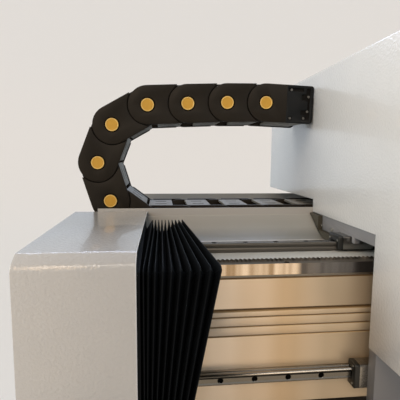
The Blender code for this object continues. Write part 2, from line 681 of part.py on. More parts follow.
def make_tray():
    """The chain tray: one folded sheet with floor, two walls, and a slanted front down to the beam's top."""
    t = TRAY_SHEET
    front = BEAM_BACK_Y + GAP + t
    back = front + TRAY_DEPTH
    wall_top = BEAM_TOP + TRAY_WALL_RISE
    floor = BEAM_TOP - TRAY_FLOOR_DROP
    foot = BEAM_TOP + GAP
    lip_low = wall_top - SLANT_LIP
    lip_y = front - t
    toe = lip_y - SLANT_RUN
    outline = [(back, floor - t), (back, wall_top), (back - t, wall_top), (back - t, floor), (front + t, floor),
               (front + t, wall_top), (lip_y, wall_top), (lip_y, lip_low), (toe, foot + t),
               (toe - SLANT_FOOT, foot + t), (toe - SLANT_FOOT, foot), (toe + t / 2, foot), (lip_y + t, lip_low - t),
               (lip_y + t, wall_top - t), (front, wall_top - t), (front, floor - t)]
    prism_object("chain_tray", outline, "X", -TRAY_HALF_LENGTH, TRAY_HALF_LENGTH, WHITE)


def bellows_section(x, depth):
    """The four corners of one bellows fold: x at the back top, at the front edge and at the foot; depth inwards."""
    top = BEAM_TOP + END_COVER_RISE - BELLOWS_TOP_DROP
    bend = top - BELLOWS_FRONT_DROP
    front = BEAM_FRONT_Y - END_COVER_REACH
    return [Vector((x[0], BEAM_FRONT_Y + BELLOWS_BACK_Y, top - depth)),
            Vector((x[1], front + END_COVER_BEND_RUN + depth / 2, top - END_COVER_BEND_DROP / 2 - depth)),
            Vector((x[1], front + depth, bend - depth / 2)),
            Vector((x[2], front + depth, top - BELLOWS_DROP))]


def make_bellows(word, side):
    """Pleated cloth that bunches up against its end cover, its free end fanned out and hanging loose."""
    edge = END_COVER_OUTER - END_COVER_WIDTH
    spans = (BELLOWS_TOP_SPAN, BELLOWS_FRONT_SPAN, BELLOWS_FOOT_SPAN)
    fans = (BELLOWS_TOP_FAN, BELLOWS_FRONT_FAN, BELLOWS_FRONT_FAN)

    def fold_x(step):
        share = max(step, 0) / (PLEATS - 1)
        places = [low + (high - low) * share ** fan for (low, high), fan in zip(spans, fans)]
        return [side * (edge - place) for place in places]

    under = COVER_WALL + GAP
    rows = [([side * (edge + BELLOWS_TUCK)] * 3, under), ([side * (edge - BELLOWS_START)] * 3, under)]
    for i in range(PLEATS):
        rows.append((fold_x(i), 0))
        if i < PLEATS - 1:
            rows.append((fold_x(i + 0.5), PLEAT_DEPTH))
    shape = bmesh.new()
    skins = []
    for inset in (0, PLEAT_SKIN):
        skins.append([[shape.verts.new(p) for p in bellows_section(x, depth + inset)] for x, depth in rows])
    outer, inner = skins
    last_row, last_corner = len(rows) - 1, len(outer[0]) - 1
    for i in range(last_row):
        for j in range(last_corner):
            shape.faces.new((outer[i][j], outer[i + 1][j], outer[i + 1][j + 1], outer[i][j + 1]))
            shape.faces.new((inner[i][j], inner[i][j + 1], inner[i + 1][j + 1], inner[i + 1][j]))
        for j in (0, last_corner):
            shape.faces.new((outer[i][j], inner[i][j], inner[i + 1][j], outer[i + 1][j]))
    for i in (0, last_row):
        for j in range(last_corner):
            shape.faces.new((outer[i][j], outer[i][j + 1], inner[i][j + 1], inner[i][j]))
    bmesh.ops.triangulate(shape, faces=shape.faces)
    name = f"bellows_{word}"
    add_object(name, mesh_from(shape, name), DARK_CLOTH)


def make_saddle():
    """The carriage's saddle: plate over the beam, leg down its front, and side cheeks notched for the blocks."""
    left, right = CARRIAGE_LEFT_X + SADDLE_INSET, CARRIAGE_RIGHT_X - SADDLE_INSET
    back = BEAM_FRONT_Y + SADDLE_BACK
    front = BEAM_FRONT_Y - SADDLE_FRONT
    leg_back = SADDLE_LEG_FRONT_Y + SADDLE_THICK
    low = SADDLE_BASE - SADDLE_LEG
    outline = [(front, SADDLE_BASE), (SADDLE_LEG_FRONT_Y, SADDLE_BASE), (SADDLE_LEG_FRONT_Y, low),
               (leg_back, low), (leg_back, SADDLE_BASE), (back, SADDLE_BASE), (back, SADDLE_TOP), (front, SADDLE_TOP)]
    saddle = prism_object("saddle", outline, "X", left, right, GREY_PAINT)
    notch_half = BEAM_RAIL["block_width"] / 2 + SADDLE_NOTCH_MARGIN
    rail_y = BEAM_FRONT_Y + RAIL_Y
    cheek_low = SADDLE_BASE - SADDLE_CHEEK_DROP
    cheek_front, cheek_back = BEAM_FRONT_Y - SADDLE_CHEEK_FRONT, BEAM_FRONT_Y + SADDLE_CHEEK_BACK
    inside = SADDLE_BASE + SADDLE_THICK / 2
    for start, end in ((left, left + SADDLE_CHEEK), (right - SADDLE_CHEEK, right)):
        for y0, y1 in ((cheek_front, rail_y - notch_half), (rail_y + notch_half, cheek_back)):
            fuse(saddle, lambda s: add_box(s, (start, y0, cheek_low), (end, y1, inside)))
    holes = [(XPINION_X, XPINION_Y, PINION_HOLE_RADIUS), (CARRIAGE_X, SCREW_Y, SCREW_HOLE_RADIUS)]
    for x, y, radius in holes:
        cut(saddle, lambda s: add_round(s, (x, y, SADDLE_BASE - CUT_PAST), "Z", radius, radius,
                                        SADDLE_THICK + 2 * CUT_PAST, LARGE_STEPS))


def make_beam_blocks():
    """Two guide blocks on the top rail and two on the front rail."""
    length = BEAM_RAIL["block_length"]
    top = block_outline(BEAM_RAIL, BEAM_FRONT_Y + RAIL_Y, BEAM_TOP + GAP)
    front = [(v, u) for u, v in block_outline(BEAM_RAIL, BEAM_TOP - FRONT_RAIL_DROP, BEAM_FRONT_Y - GAP, -1)]
    for word, x in (("left", CARRIAGE_LEFT_X - BLOCK_OVERHANG),
                    ("right", CARRIAGE_RIGHT_X + BLOCK_OVERHANG - length)):
        prism_object(f"beam_block_top_{word}", top, "X", x, x + length, BLACK)
        prism_object(f"beam_block_front_{word}", front, "X", x, x + length, BLACK)


def make_carriage_cover():
    """The big folded cover over the carriage, open below, its rear raised to clear the tray."""
    front, back = BEAM_FRONT_Y - CAR_COVER_FRONT, BEAM_FRONT_Y + CAR_COVER_BACK
    nose = BEAM_FRONT_Y - CAR_COVER_NOSE_BACK
    step = BEAM_BACK_Y - CAR_COVER_STEP_SPACE
    top, low = BEAM_TOP + CAR_COVER_TOP, SADDLE_TOP + GAP
    rear_low, nose_low = BEAM_TOP + CAR_COVER_REAR_LOW, BEAM_TOP - CAR_COVER_NOSE_DROP
    nick, wall = CAR_COVER_CORNER, CAR_COVER_WALL
    outline = [(front, nose_low), (nose, nose_low), (nose, low), (step, low), (step, rear_low), (back, rear_low),
               (back, top - nick), (back - nick, top), (front + nick, top), (front, top - nick)]
    cover = prism_object("carriage_cover", outline, "X", CARRIAGE_LEFT_X, CARRIAGE_RIGHT_X, WHITE)
    room = [(front + wall, nose_low - CUT_PAST), (back - wall, nose_low - CUT_PAST), (back - wall, top - nick - wall),
            (back - nick - wall, top - wall), (front + nick + wall, top - wall), (front + wall, top - nick - wall)]
    cut(cover, lambda s: add_prism(s, room, "X", CARRIAGE_LEFT_X + wall, CARRIAGE_RIGHT_X - wall))


def hollow_radius(radius):
    """The radius of a hollow whose flat facets still clear a neighbour's round end."""
    return (radius + RUN_GAP) / math.cos(math.radians(HOLLOW_HALF_ANGLE) / HOLLOW_STEPS)


def plate_outline(radius, length, start, end):
    """A chain plate seen from its side. Each end is round, hollow for its neighbour, or square."""
    corner = CHAIN_BRACKET_CORNER
    angle = math.radians(HOLLOW_HALF_ANGLE)
    hollow = hollow_radius(radius)
    rest = math.pi / 2 - angle
    shoulder = hollow * math.cos(angle) - (radius - hollow * math.sin(angle)) / math.tan(rest) + RUN_GAP
    ends = {
        "round": arc((length, 0), radius, -90, 90, DISC_STEPS),
        "hollow": [(length - shoulder, -radius)]
        + arc((length, 0), hollow, 180 + HOLLOW_HALF_ANGLE, 180 - HOLLOW_HALF_ANGLE, HOLLOW_STEPS)
        + [(length - shoulder, radius)],
        "square": [(length - corner, -radius), (length, corner - radius), (length, radius - corner),
                   (length - corner, radius)],
    }
    starts = {
        "round": arc((0, 0), radius, 90, 270, DISC_STEPS),
        "hollow": [(shoulder, radius)] + arc((0, 0), hollow, HOLLOW_HALF_ANGLE, -HOLLOW_HALF_ANGLE, HOLLOW_STEPS)
        + [(shoulder, -radius)],
        "square": [(corner, radius), (0, radius - corner), (0, corner - radius), (corner, -radius)],
    }
    return ends[end] + starts[start]


def chain_mesh(name, length, start, end):
    """One chain link or end bracket: two side plates in two layers each, joined by two crossbars.

    The outer layer is round at its end, over the next link's tongue, and the inner layer is a tongue at its start.
    """
    outer_start = "square" if start == "square" else "hollow"
    outer_end = "square" if end == "square" else "round"
    inner_start = "square" if start == "square" else "round"
    inner_end = "square" if end == "square" else "hollow"
    outer = plate_outline(CHAIN_RADIUS, length, outer_start, outer_end)
    inner = plate_outline(CHAIN_TONGUE_RADIUS, length, inner_start, inner_end)
    width, t1, t2 = CHAIN_WIDTH, CHAIN_OUTER_PLATE, CHAIN_INNER_PLATE
    link = prism_object(name, outer, "Y", 0, t1, BLACK)
    fuse(link, lambda s: add_prism(s, outer, "Y", width - t1, width))
    web_middle = middle_of(length, start, end, CHAIN_RADIUS)
    web_low, web_high = web_middle - CHAIN_WEB / 2, web_middle + CHAIN_WEB / 2
    tall = CHAIN_TONGUE_RADIUS - 2 * CHAIN_BAR_INSET
    for near in (True, False):
        layer = (t1 + GAP, t1 + t2) if near else (width - t1 - t2, width - t1 - GAP)
        web = (t1 - FUSE, t1 + 2 * FUSE) if near else (width - t1 - 2 * FUSE, width - t1 + FUSE)
        tongue = helper(lambda s: add_prism(s, inner, "Y", layer[0], layer[1]))
        combine(tongue, helper(lambda s: add_box(s, (web_low, web[0], -tall), (web_high, web[1], tall))), "UNION")
        combine(link, tongue, "UNION")
    middle = middle_of(length, start, end, CHAIN_TONGUE_RADIUS)
    bar = CHAIN_BAR_WIDTH / 2
    edge = CHAIN_TONGUE_RADIUS - CHAIN_BAR_INSET
    for low in (-edge, edge - CHAIN_BAR_THICK):
        fuse(link, lambda s: add_box(s, (middle - bar, t1 + t2 / 2, low),
                                     (middle + bar, width - t1 - t2 / 2, low + CHAIN_BAR_THICK)))
    if end != "square":
        for y0, y1 in ((-CHAIN_CAP_RISE, FUSE), (width - FUSE, width + CHAIN_CAP_RISE)):
            fuse(link, lambda s: add_round(s, (length, y0, 0), "Y", CHAIN_CAP_RADIUS, CHAIN_CAP_RADIUS, y1 - y0))
    return link


def middle_of(length, start, end, start_radius):
    """The middle of the stretch that neither the start's hollow, of the given radius, nor the end's reaches."""
    low = CHAIN_BRACKET_CORNER if start == "square" else hollow_radius(start_radius)
    high = length - (CHAIN_BRACKET_CORNER if end == "square" else hollow_radius(CHAIN_TONGUE_RADIUS))
    return (low + high) / 2


def set_along(thing, pivot, heading):
    """Puts a chain piece with its start at the pivot and its length along the heading, in degrees."""
    turn = Matrix.Rotation(-math.radians(heading), 4, "Y")
    place = Matrix.Translation((pivot[0], BEAM_FRONT_Y + CHAIN_NEAR_Y, pivot[1]))
    thing.matrix_world = place @ turn


def make_chain():
    """The drag chain: the carriage's bracket, the links round the bend, and the bracket in the tray."""
    pivot = Vector((CARRIAGE_LEFT_X - CHAIN_REACH, BEAM_TOP + CHAIN_RISE))
    tilt = math.radians(CHAIN_BRACKET_TILT)
    far = pivot + CHAIN_BRACKET_LENGTH * Vector((math.cos(tilt), math.sin(tilt)))
    bracket = chain_mesh("chain_bracket_upper", CHAIN_BRACKET_LENGTH, "square", "round")
    set_along(bracket, far, 180 + CHAIN_BRACKET_TILT)
    first = chain_mesh("chain_link_01", CHAIN_PITCH, "round", "hollow")
    for i, heading in enumerate(CHAIN_HEADINGS):
        link = first if i == 0 else add_object(f"chain_link_{i + 1:02d}", first.data.copy(), BLACK)
        set_along(link, pivot, heading)
        turn = math.radians(heading)
        pivot = pivot + CHAIN_PITCH * Vector((math.cos(turn), math.sin(turn)))
    tail = chain_mesh("chain_bracket_lower", CHAIN_TAIL_LENGTH, "round", "square")
    set_along(tail, pivot, 0)


def make_head_slide():
    """The head's rails on the saddle's leg, the screw with its motor, and the sliding plate with blocks and nut."""
    rail_low = SADDLE_BASE - SADDLE_LEG + SADDLE_NOTCH_MARGIN
    base = SADDLE_LEG_FRONT_Y - GAP
    for word, side in (("left", -1), ("right", 1)):
        x = CARRIAGE_X + side * HEAD_RAIL_SPACE
        prism_object(f"head_rail_{word}", rail_outline(HEAD_RAIL, x, base, -1), "Z", rail_low,
                     rail_low + HEAD_RAIL_LENGTH, STEEL)
    screw_top = SADDLE_TOP - GAP
    shape = bmesh.new()
    add_round(shape, (0, 0, screw_top - SCREW_LENGTH), "Z", SCREW_RADIUS, SCREW_RADIUS, SCREW_LENGTH)
    screw = add_object("head_screw", mesh_from(shape, "head_screw"), STEEL)
    screw.location = (CARRIAGE_X, SCREW_Y, 0)
    make_motor("head_motor", (CARRIAGE_X, SCREW_Y), ZMOTOR_SIDE / 2, SADDLE_TOP + GAP, ZMOTOR_HEIGHT)

    plate_back = base - HEAD_RAIL["top"]
    plate_front = plate_back - ZPLATE_THICK
    top = SADDLE_BASE - ZPLATE_TOP_DROP
    low = top - ZPLATE_HEIGHT
    plate = box_object("head_plate", (CARRIAGE_X - ZPLATE_HALF_WIDTH, plate_front, low),
                       (CARRIAGE_X + ZPLATE_HALF_WIDTH, plate_back, top), ALUMINIUM)
    for side in (-1, 1):
        section = block_outline(HEAD_RAIL, CARRIAGE_X + side * HEAD_RAIL_SPACE, base, -1)
        section = [(x, y - FUSE if y < plate_back + FUSE else y) for x, y in section]
        for z in (low, top - HEAD_RAIL["block_length"]):
            fuse(plate, lambda s: add_prism(s, section, "Z", z + FUSE, z + HEAD_RAIL["block_length"] - FUSE))
    nut_z = (low + top - NUT_HEIGHT) / 2
    fuse(plate, lambda s: add_box(s, (CARRIAGE_X - NUT_RADIUS, plate_back - FUSE, nut_z),
                                  (CARRIAGE_X + NUT_RADIUS, base - RUN_GAP, nut_z + NUT_HEIGHT)))
    bore = SCREW_RADIUS + RUN_GAP
    cut(plate, lambda s: add_round(s, (CARRIAGE_X, SCREW_Y, nut_z - CUT_PAST), "Z", bore, bore,
                                   NUT_HEIGHT + 2 * CUT_PAST))
    make_head(plate_front - GAP, top - HEAD_TOP_DROP)


def make_head(back, top):
    """The cutting head in front of its plate: chamfered body and the stepped nozzle below it."""
    half, nick = HEAD_HALF_WIDTH, HEAD_CORNER
    front = back - HEAD_DEPTH
    low = top - HEAD_HEIGHT
    outline = [(CARRIAGE_X - half, back), (CARRIAGE_X + half, back), (CARRIAGE_X + half, front + nick),
               (CARRIAGE_X + half - nick, front), (CARRIAGE_X - half + nick, front), (CARRIAGE_X - half, front + nick)]
    prism_object("cutting_head", outline, "Z", low, top, ALUMINIUM)
    centre_y = (front + back) / 2
    z = low - GAP
    shape = bmesh.new()
    profile = [(NOZZLE_BORE, z), (NOZZLE_TOP_RADIUS, z), (NOZZLE_TOP_RADIUS, z - NOZZLE_COLLAR),
               (NOZZLE_NECK_RADIUS, z - NOZZLE_COLLAR - NOZZLE_CONE),
               (NOZZLE_TIP_RADIUS, z - NOZZLE_COLLAR - NOZZLE_CONE - NOZZLE_TIP),
               (NOZZLE_BORE, z - NOZZLE_COLLAR - NOZZLE_CONE - NOZZLE_TIP)]
    ring = [shape.verts.new((CARRIAGE_X + r, centre_y, h)) for r, h in profile]
    edges = [shape.edges.new((ring[i], ring[(i + 1) % len(ring)])) for i in range(len(ring))]
    bmesh.ops.spin(shape, geom=ring + edges, cent=(CARRIAGE_X, centre_y, 0), axis=(0, 0, 1),
                   angle=2 * math.pi, steps=NOZZLE_STEPS, use_merge=True)
    bmesh.ops.remove_doubles(shape, verts=shape.verts, dist=GAP / 3)
    nozzle = add_object("nozzle", mesh_from(shape, "nozzle"), STEEL)
    nozzle.data.shade_smooth()
    nozzle.data.set_sharp_from_angle(angle=SMOOTH_ANGLE)


def make_drives():
    """The carriage's motor on the saddle and its pinion in the beam's rack."""
    make_motor("beam_motor", (XPINION_X, XPINION_Y), XMOTOR_SIDE / 2, SADDLE_TOP + GAP, XMOTOR_HEIGHT)
    make_pinion("beam_pinion", (XPINION_X, XPINION_Y), BEAM_TOP - LIP_DROP + RUN_GAP, SADDLE_TOP, math.pi / 2)


def main():
    """Builds the whole machine."""
    clear_scene()
    make_bed()
    make_table()
    make_drawer("scrap_drawer_front", -1)
    make_drawer("scrap_drawer_rear", 1)
    make_bed_tracks()
    make_beam()
    make_beam_tracks()
    make_gantry_ends()
    for word, side in (("left", -1), ("right", 1)):
        make_end_cover(word, side)
        make_bellows(word, side)
    make_tray()
    make_saddle()
    make_beam_blocks()
    make_carriage_cover()
    make_drives()
    make_head_slide()
    make_chain()


main()
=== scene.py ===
"""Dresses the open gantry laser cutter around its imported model: finishes, chain, bellows and small parts.

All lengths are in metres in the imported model's frame: X along the beam, Y along the bed, Z up. Only a Finish
gives the sizes of its pattern in millimetres.
"""
from __future__ import annotations

import json
import logging
import math
from collections.abc import Callable, Iterable, Sequence
from dataclasses import dataclass
from enum import Enum
from typing import Any

import bpy
from mathutils import Matrix, Vector

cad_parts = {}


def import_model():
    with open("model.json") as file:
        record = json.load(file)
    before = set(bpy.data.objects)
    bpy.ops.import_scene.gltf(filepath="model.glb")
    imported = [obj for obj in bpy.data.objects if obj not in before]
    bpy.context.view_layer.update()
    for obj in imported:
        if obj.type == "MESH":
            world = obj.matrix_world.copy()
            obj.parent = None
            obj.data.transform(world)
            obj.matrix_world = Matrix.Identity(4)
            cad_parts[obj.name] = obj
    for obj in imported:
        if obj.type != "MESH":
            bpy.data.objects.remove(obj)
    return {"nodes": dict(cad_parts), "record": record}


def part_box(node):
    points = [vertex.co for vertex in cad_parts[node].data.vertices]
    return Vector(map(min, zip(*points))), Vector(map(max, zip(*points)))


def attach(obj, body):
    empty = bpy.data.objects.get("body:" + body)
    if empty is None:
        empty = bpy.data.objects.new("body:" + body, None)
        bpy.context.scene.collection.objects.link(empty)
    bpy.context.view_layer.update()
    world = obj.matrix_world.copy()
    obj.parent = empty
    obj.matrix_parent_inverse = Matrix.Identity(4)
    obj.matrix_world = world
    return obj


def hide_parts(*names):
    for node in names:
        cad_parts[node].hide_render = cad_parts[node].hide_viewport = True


LOG = logging.getLogger("laser_cutter")
MM = 0.001
HEX_BASE = 16
SRGB_KNEE, SRGB_SLOPE, SRGB_OFFSET, SRGB_POWER = 0.04045, 12.92, 0.055, 2.4
BYTE_MAX = 255
LEAST_ROUGHNESS = 0.02
WELD = 0.00001
FLAT_ANGLE = math.radians(1)
SHARP_ANGLE = math.radians(35)
SIDES = (("left", -1), ("right", 1))
# How far inside an edge the paint of a hole or slot starts.
INSIDE = 0.4 * MM
# The least share of a face's normal that counts as looking to a side, lying level or slanting.
LOOKS, LEVEL, SLANTS = 0.5, 0.9, 0.3
# An edge runs along an axis above the first share, and a face is square to one above the second.
ALONG, SQUARE = 0.99, 0.97

NODES: dict[str, bpy.types.Object] = {}
RECORD: dict[str, Any] = {}
FaceTest = Callable[[Vector, Vector], bool]
Point = tuple[float, float]
Outline = Sequence[Point]


class Axis(Enum):
    """The direction that an outline is drawn along or a profile is turned about."""

    X = 0
    Y = 1
    Z = 2

    def place(self, u: float, v: float, along: float) -> Vector:
        """A point from two outline coordinates and its place along the axis."""
        order = {Axis.X: (along, u, v), Axis.Y: (u, along, v), Axis.Z: (u, v, along)}
        return Vector(order[self])


def linear(hex_code: str) -> tuple[float, float, float, float]:
    """Turns an sRGB hex colour into linear light.

    Args:
        hex_code: Six hex digits.

    Returns:
        Red, green, blue and an alpha of 1.
    """
    channels = []
    for i in range(0, len(hex_code), 2):
        value = int(hex_code[i:i + 2], HEX_BASE) / BYTE_MAX
        if value <= SRGB_KNEE:
            channels.append(value / SRGB_SLOPE)
        else:
            channels.append(((value + SRGB_OFFSET) / (1 + SRGB_OFFSET)) ** SRGB_POWER)
    return (*channels, 1.0)


def add_node(tree: bpy.types.NodeTree, kind: str, settings: dict[str | int, Any] | None = None,
             **links: bpy.types.NodeSocket) -> bpy.types.Node:
    """Adds a shader node with its settings and links.

    Args:
        tree: The material's node tree.
        kind: The node's type name.
        settings: Values for its properties, or for its sockets by name or number.
        **links: Output sockets, by the name of the socket that each feeds, with _ for a space, or n and its
            number.

    Returns:
        The new node.
    """
    node = tree.nodes.new(kind)
    for key, value in (settings or {}).items():
        if isinstance(key, str) and key not in node.inputs:
            setattr(node, key, value)
        else:
            node.inputs[key].default_value = value
    for key, socket in links.items():
        name = key.replace("_", " ")
        tree.links.new(socket, node.inputs[name] if name in node.inputs else node.inputs[int(key.strip("n"))])
    return node


@dataclass(frozen=True)
class Finish:
    """A surface made of a base tone with soft patches, and a grain that lifts and dulls it.

    Attributes:
        name: What the real surface is and how it was made.
        tone: The main colour, as sRGB hex.
        shade: The colour of the soft patches, as sRGB hex.
        roughness: The mean roughness.
        metallic: 1 for bare metal.
        patch: The size of the patches in millimetres.
        grain: The size of the grain in millimetres.
        depth: The height of the grain in millimetres.
        stretch: How far the grain is drawn out along X, Y and Z; 1 for none.
        dulling: How far the grain varies the roughness.
        coat: The weight of a clear coat.
        gloss: The specular level; 0.5 is plain.
    """

    name: str
    tone: str
    shade: str
    roughness: float
    metallic: float = 0.0
    patch: float = 60
    grain: float = 3
    depth: float = 0.02
    stretch: tuple[float, float, float] = (1.0, 1.0, 1.0)
    dulling: float = 0.06
    coat: float = 0.0
    gloss: float = 0.5

    def colour_socket(self, tree: bpy.types.NodeTree, place: bpy.types.NodeSocket) -> bpy.types.NodeSocket:
        """The socket that carries the surface's colour.

        Args:
            tree: The material's node tree.
            place: The coordinates to read.

        Returns:
            A colour socket.
        """
        patches = add_node(tree, "ShaderNodeTexNoise", {"Scale": 1 / (self.patch * MM), "Detail": 3.0},
                           Vector=place)
        blend = add_node(tree, "ShaderNodeMix",
                         {"data_type": "RGBA", 6: linear(self.tone), 7: linear(self.shade)},
                         n0=patches.outputs["Fac"])
        return blend.outputs[2]

    def build(self) -> bpy.types.Material:
        """Makes the material, or returns the one already made.

        Returns:
            The material.
        """
        made = bpy.data.materials.get(self.name)
        if made:
            return made
        material = bpy.data.materials.new(self.name)
        material.use_nodes = True
        tree = material.node_tree
        shader = tree.nodes["Principled BSDF"]
        shader.inputs["Metallic"].default_value = self.metallic
        shader.inputs["Coat Weight"].default_value = self.coat
        shader.inputs["Specular IOR Level"].default_value = self.gloss
        place = add_node(tree, "ShaderNodeTexCoord").outputs["Object"]
        drawn_out = add_node(tree, "ShaderNodeMapping", {"Scale": [1 / s for s in self.stretch]},
                             Vector=place)
        tree.links.new(self.colour_socket(tree, place), shader.inputs["Base Color"])
        grain = add_node(tree, "ShaderNodeTexNoise", {"Scale": 1 / (self.grain * MM), "Detail": 2.0},
                         Vector=drawn_out.outputs["Vector"])
        rough = add_node(tree, "ShaderNodeMapRange",
                         {"To Min": max(self.roughness - self.dulling, LEAST_ROUGHNESS),
                          "To Max": self.roughness + self.dulling}, Value=grain.outputs["Fac"])
        tree.links.new(rough.outputs["Result"], shader.inputs["Roughness"])
        bump = add_node(tree, "ShaderNodeBump", {"Distance": self.depth * MM, "Strength": 1.0},
                        Height=grain.outputs["Fac"])
        tree.links.new(bump.outputs["Normal"], shader.inputs["Normal"])
        return material


@dataclass(frozen=True)
class ReflectionPaintedFinish(Finish):
    """Milled metal with painted reflections: soft upright bands and cooler stretches along the beam.

    Attributes:
        band: The width of a band along X in millimetres.
        band_edge: The values of the noise between which a band sets in.
        band_reflection: The colour of the bands, as sRGB hex.
        stretch_reflection: The colour of the cooler stretches, as sRGB hex.
        stretch_start: Where a cooler stretch starts along X.
        stretch_length: The length of a warm and a cool stretch together.
        stretch_most: How much of the cooler colour shows at most.
        fade: How soft the change between them is, as a share of a full swing.
    """

    band: float = 30
    band_edge: Point = (0.44, 0.58)
    band_reflection: str = "8E7656"
    stretch_reflection: str = "6B6B6E"
    stretch_start: float = -0.795
    stretch_length: float = 0.95
    stretch_most: float = 0.85
    fade: float = 0.03

    def colour_socket(self, tree: bpy.types.NodeTree, place: bpy.types.NodeSocket) -> bpy.types.NodeSocket:
        """The socket that carries the colour with its bands and stretches.

        Args:
            tree: The material's node tree.
            place: The coordinates to read.

        Returns:
            A colour socket.
        """
        base = super().colour_socket(tree, place)
        flat = add_node(tree, "ShaderNodeMapping", {"Scale": (1.0, 0.0, 0.0)}, Vector=place)
        bands = add_node(tree, "ShaderNodeTexNoise", {"Scale": 1 / (self.band * MM), "Detail": 2.0},
                         Vector=flat.outputs["Vector"])
        ramp = add_node(tree, "ShaderNodeMapRange",
                        {"From Min": self.band_edge[0], "From Max": self.band_edge[1]},
                        Value=bands.outputs["Fac"])
        banded = add_node(tree, "ShaderNodeMix", {"data_type": "RGBA", 7: linear(self.band_reflection)},
                          n0=ramp.outputs["Result"], n6=base)
        split = add_node(tree, "ShaderNodeSeparateXYZ", Vector=place)
        turn = 2 * math.pi / self.stretch_length
        phase = add_node(tree, "ShaderNodeMath",
                         {"operation": "MULTIPLY_ADD", 1: turn, 2: -turn * self.stretch_start},
                         n0=split.outputs["X"])
        swing = add_node(tree, "ShaderNodeMath", {"operation": "SINE"}, n0=phase.outputs["Value"])
        cool = add_node(tree, "ShaderNodeMapRange",
                        {"From Min": -self.fade, "From Max": self.fade, "To Max": self.stretch_most},
                        Value=swing.outputs["Value"])
        mixed = add_node(tree, "ShaderNodeMix", {"data_type": "RGBA", 7: linear(self.stretch_reflection)},
                         n0=cool.outputs["Result"], n6=banded.outputs[2])
        return mixed.outputs[2]


@dataclass(frozen=True)
class FootShadedFinish(Finish):
    """Enamel on a slanted sheet, darker at its foot as a painted reflection of the darker rail bed.

    Attributes:
        foot: The colour at the foot, as sRGB hex.
        rise: The heights between which the foot's colour fades out.
    """

    foot: str = "808080"
    rise: Point = (0.0, 1.0)

    def colour_socket(self, tree: bpy.types.NodeTree, place: bpy.types.NodeSocket) -> bpy.types.NodeSocket:
        """The socket that carries the colour with its shaded foot.

        Args:
            tree: The material's node tree.
            place: The coordinates to read.

        Returns:
            A colour socket.
        """
        base = super().colour_socket(tree, place)
        split = add_node(tree, "ShaderNodeSeparateXYZ", Vector=place)
        height = add_node(tree, "ShaderNodeMapRange", {"From Min": self.rise[0], "From Max": self.rise[1]},
                          Value=split.outputs["Z"])
        mixed = add_node(tree, "ShaderNodeMix", {"data_type": "RGBA", 6: linear(self.foot)},
                         n0=height.outputs["Result"], n7=base)
        return mixed.outputs[2]


# Rails are ground along their length, and extruded or milled faces show the cutter's lines along the beam.
GROUND_ALONG_X, GROUND_ALONG_Y, GROUND_ALONG_Z = (60.0, 1.0, 1.0), (1.0, 60.0, 1.0), (1.0, 1.0, 60.0)
CUT_ALONG_X = (80.0, 1.0, 1.0)

# Sprayed gloss enamel on sheet steel: a fine orange peel breaks up its reflections. The peel is drawn coarser
# than the real one, so that it shows. The carriage's panel is the same enamel, painted paler as painted light.
WHITE_ENAMEL = Finish("sprayed_gloss_enamel", "CAC9C5", "C3C3C1", 0.22, grain=4.5, depth=0.9, coat=0.35)
PANEL_ENAMEL_PAINTED_LIGHT = Finish("panel_enamel_painted_light", "DEDFDE", "D6D8D8", 0.22, grain=4.5, depth=0.9, coat=0.35)
# A paler tone on the covers' inner edges: a painted highlight where the edges catch the light.
EDGE_PAINTED_HIGHLIGHT = Finish("enamel_edge_painted_highlight", "F4F4F2", "ECECEA", 0.30)
# Satin enamel is duller, and only its slow changes of tone show.
TRAY_ENAMEL = Finish("satin_tray_enamel", "AEABA7", "A3A7A8", 0.38, patch=240, depth=0.06)
# The tray's slanted face is its enamel painted cooler and darker as painted shade, darker still at its foot.
SLANT_PAINTED_SHADE = FootShadedFinish("slant_enamel_painted_shade", "A8A6A1", "979C9C", 0.38, patch=260, depth=0.06,
                                foot="828582", rise=(1.186, 1.200))
SADDLE_ENAMEL = Finish("satin_saddle_enamel", "86878A", "7D7E80", 0.40, depth=0.05)
GREY_ENAMEL = Finish("satin_grey_enamel", "7D7F7E", "747675", 0.45, depth=0.05)
DRAWER_ENAMEL = Finish("satin_beige_enamel", "B4B0A8", "ABA79F", 0.45, depth=0.05)
HEAD_ENAMEL = Finish("satin_silver_enamel", "C4C6C8", "B9BBBD", 0.38, metallic=0.3, grain=2)
MOTOR_ENAMEL = Finish("satin_black_enamel", "1B1B1C", "232324", 0.42, grain=2, depth=0.03)
# Ground and hardened bearing steel: bright, with fine lines along the rail; flank darker, in painted shade.
GROUND_STEEL = Finish("ground_bearing_steel", "A9A7A3", "8F8D89", 0.28, metallic=1.0, grain=0.8, depth=0.01)
RAIL_ALONG_BEAM = Finish("ground_rail_along_beam", "827F7A", "6C6A66", 0.26, metallic=1.0, patch=120,
                         grain=0.8, stretch=GROUND_ALONG_X)
RAIL_ALONG_BED = Finish("ground_rail_along_bed", "9C9A95", "85837F", 0.26, metallic=1.0, patch=120, grain=0.8,
                        stretch=GROUND_ALONG_Y)
RAIL_UPRIGHT = Finish("ground_upright_rail", "9C9A95", "85837F", 0.26, metallic=1.0, patch=120, grain=0.8,
                      stretch=GROUND_ALONG_Z)
RAIL_FLANK_PAINTED_SHADE = Finish("rail_flank_painted_shade", "4E4C47", "3F3D39", 0.46, metallic=0.4, grain=0.8,
                    stretch=GROUND_ALONG_X)
TOOTH_STEEL = Finish("milled_rack_steel", "8D8982", "6E6B65", 0.36, metallic=1.0, grain=1.2)
# The rack's top and the beam's top strip behind it are painted near-white as painted light from above.
RACK_TOP_PAINTED_LIGHT = Finish("rack_top_painted_light", "D8DDDC", "CACFCE", 0.45, metallic=0.15, grain=1.0, depth=0.01,
                  stretch=(50.0, 1.0, 1.0))
# Hot rolled strip: scale and heat leave it brown and uneven.
SLAT_STEEL = Finish("hot_rolled_slat_steel", "7A7168", "5A534C", 0.55, metallic=0.7, patch=90, grain=2,
                    depth=0.08, dulling=0.15)
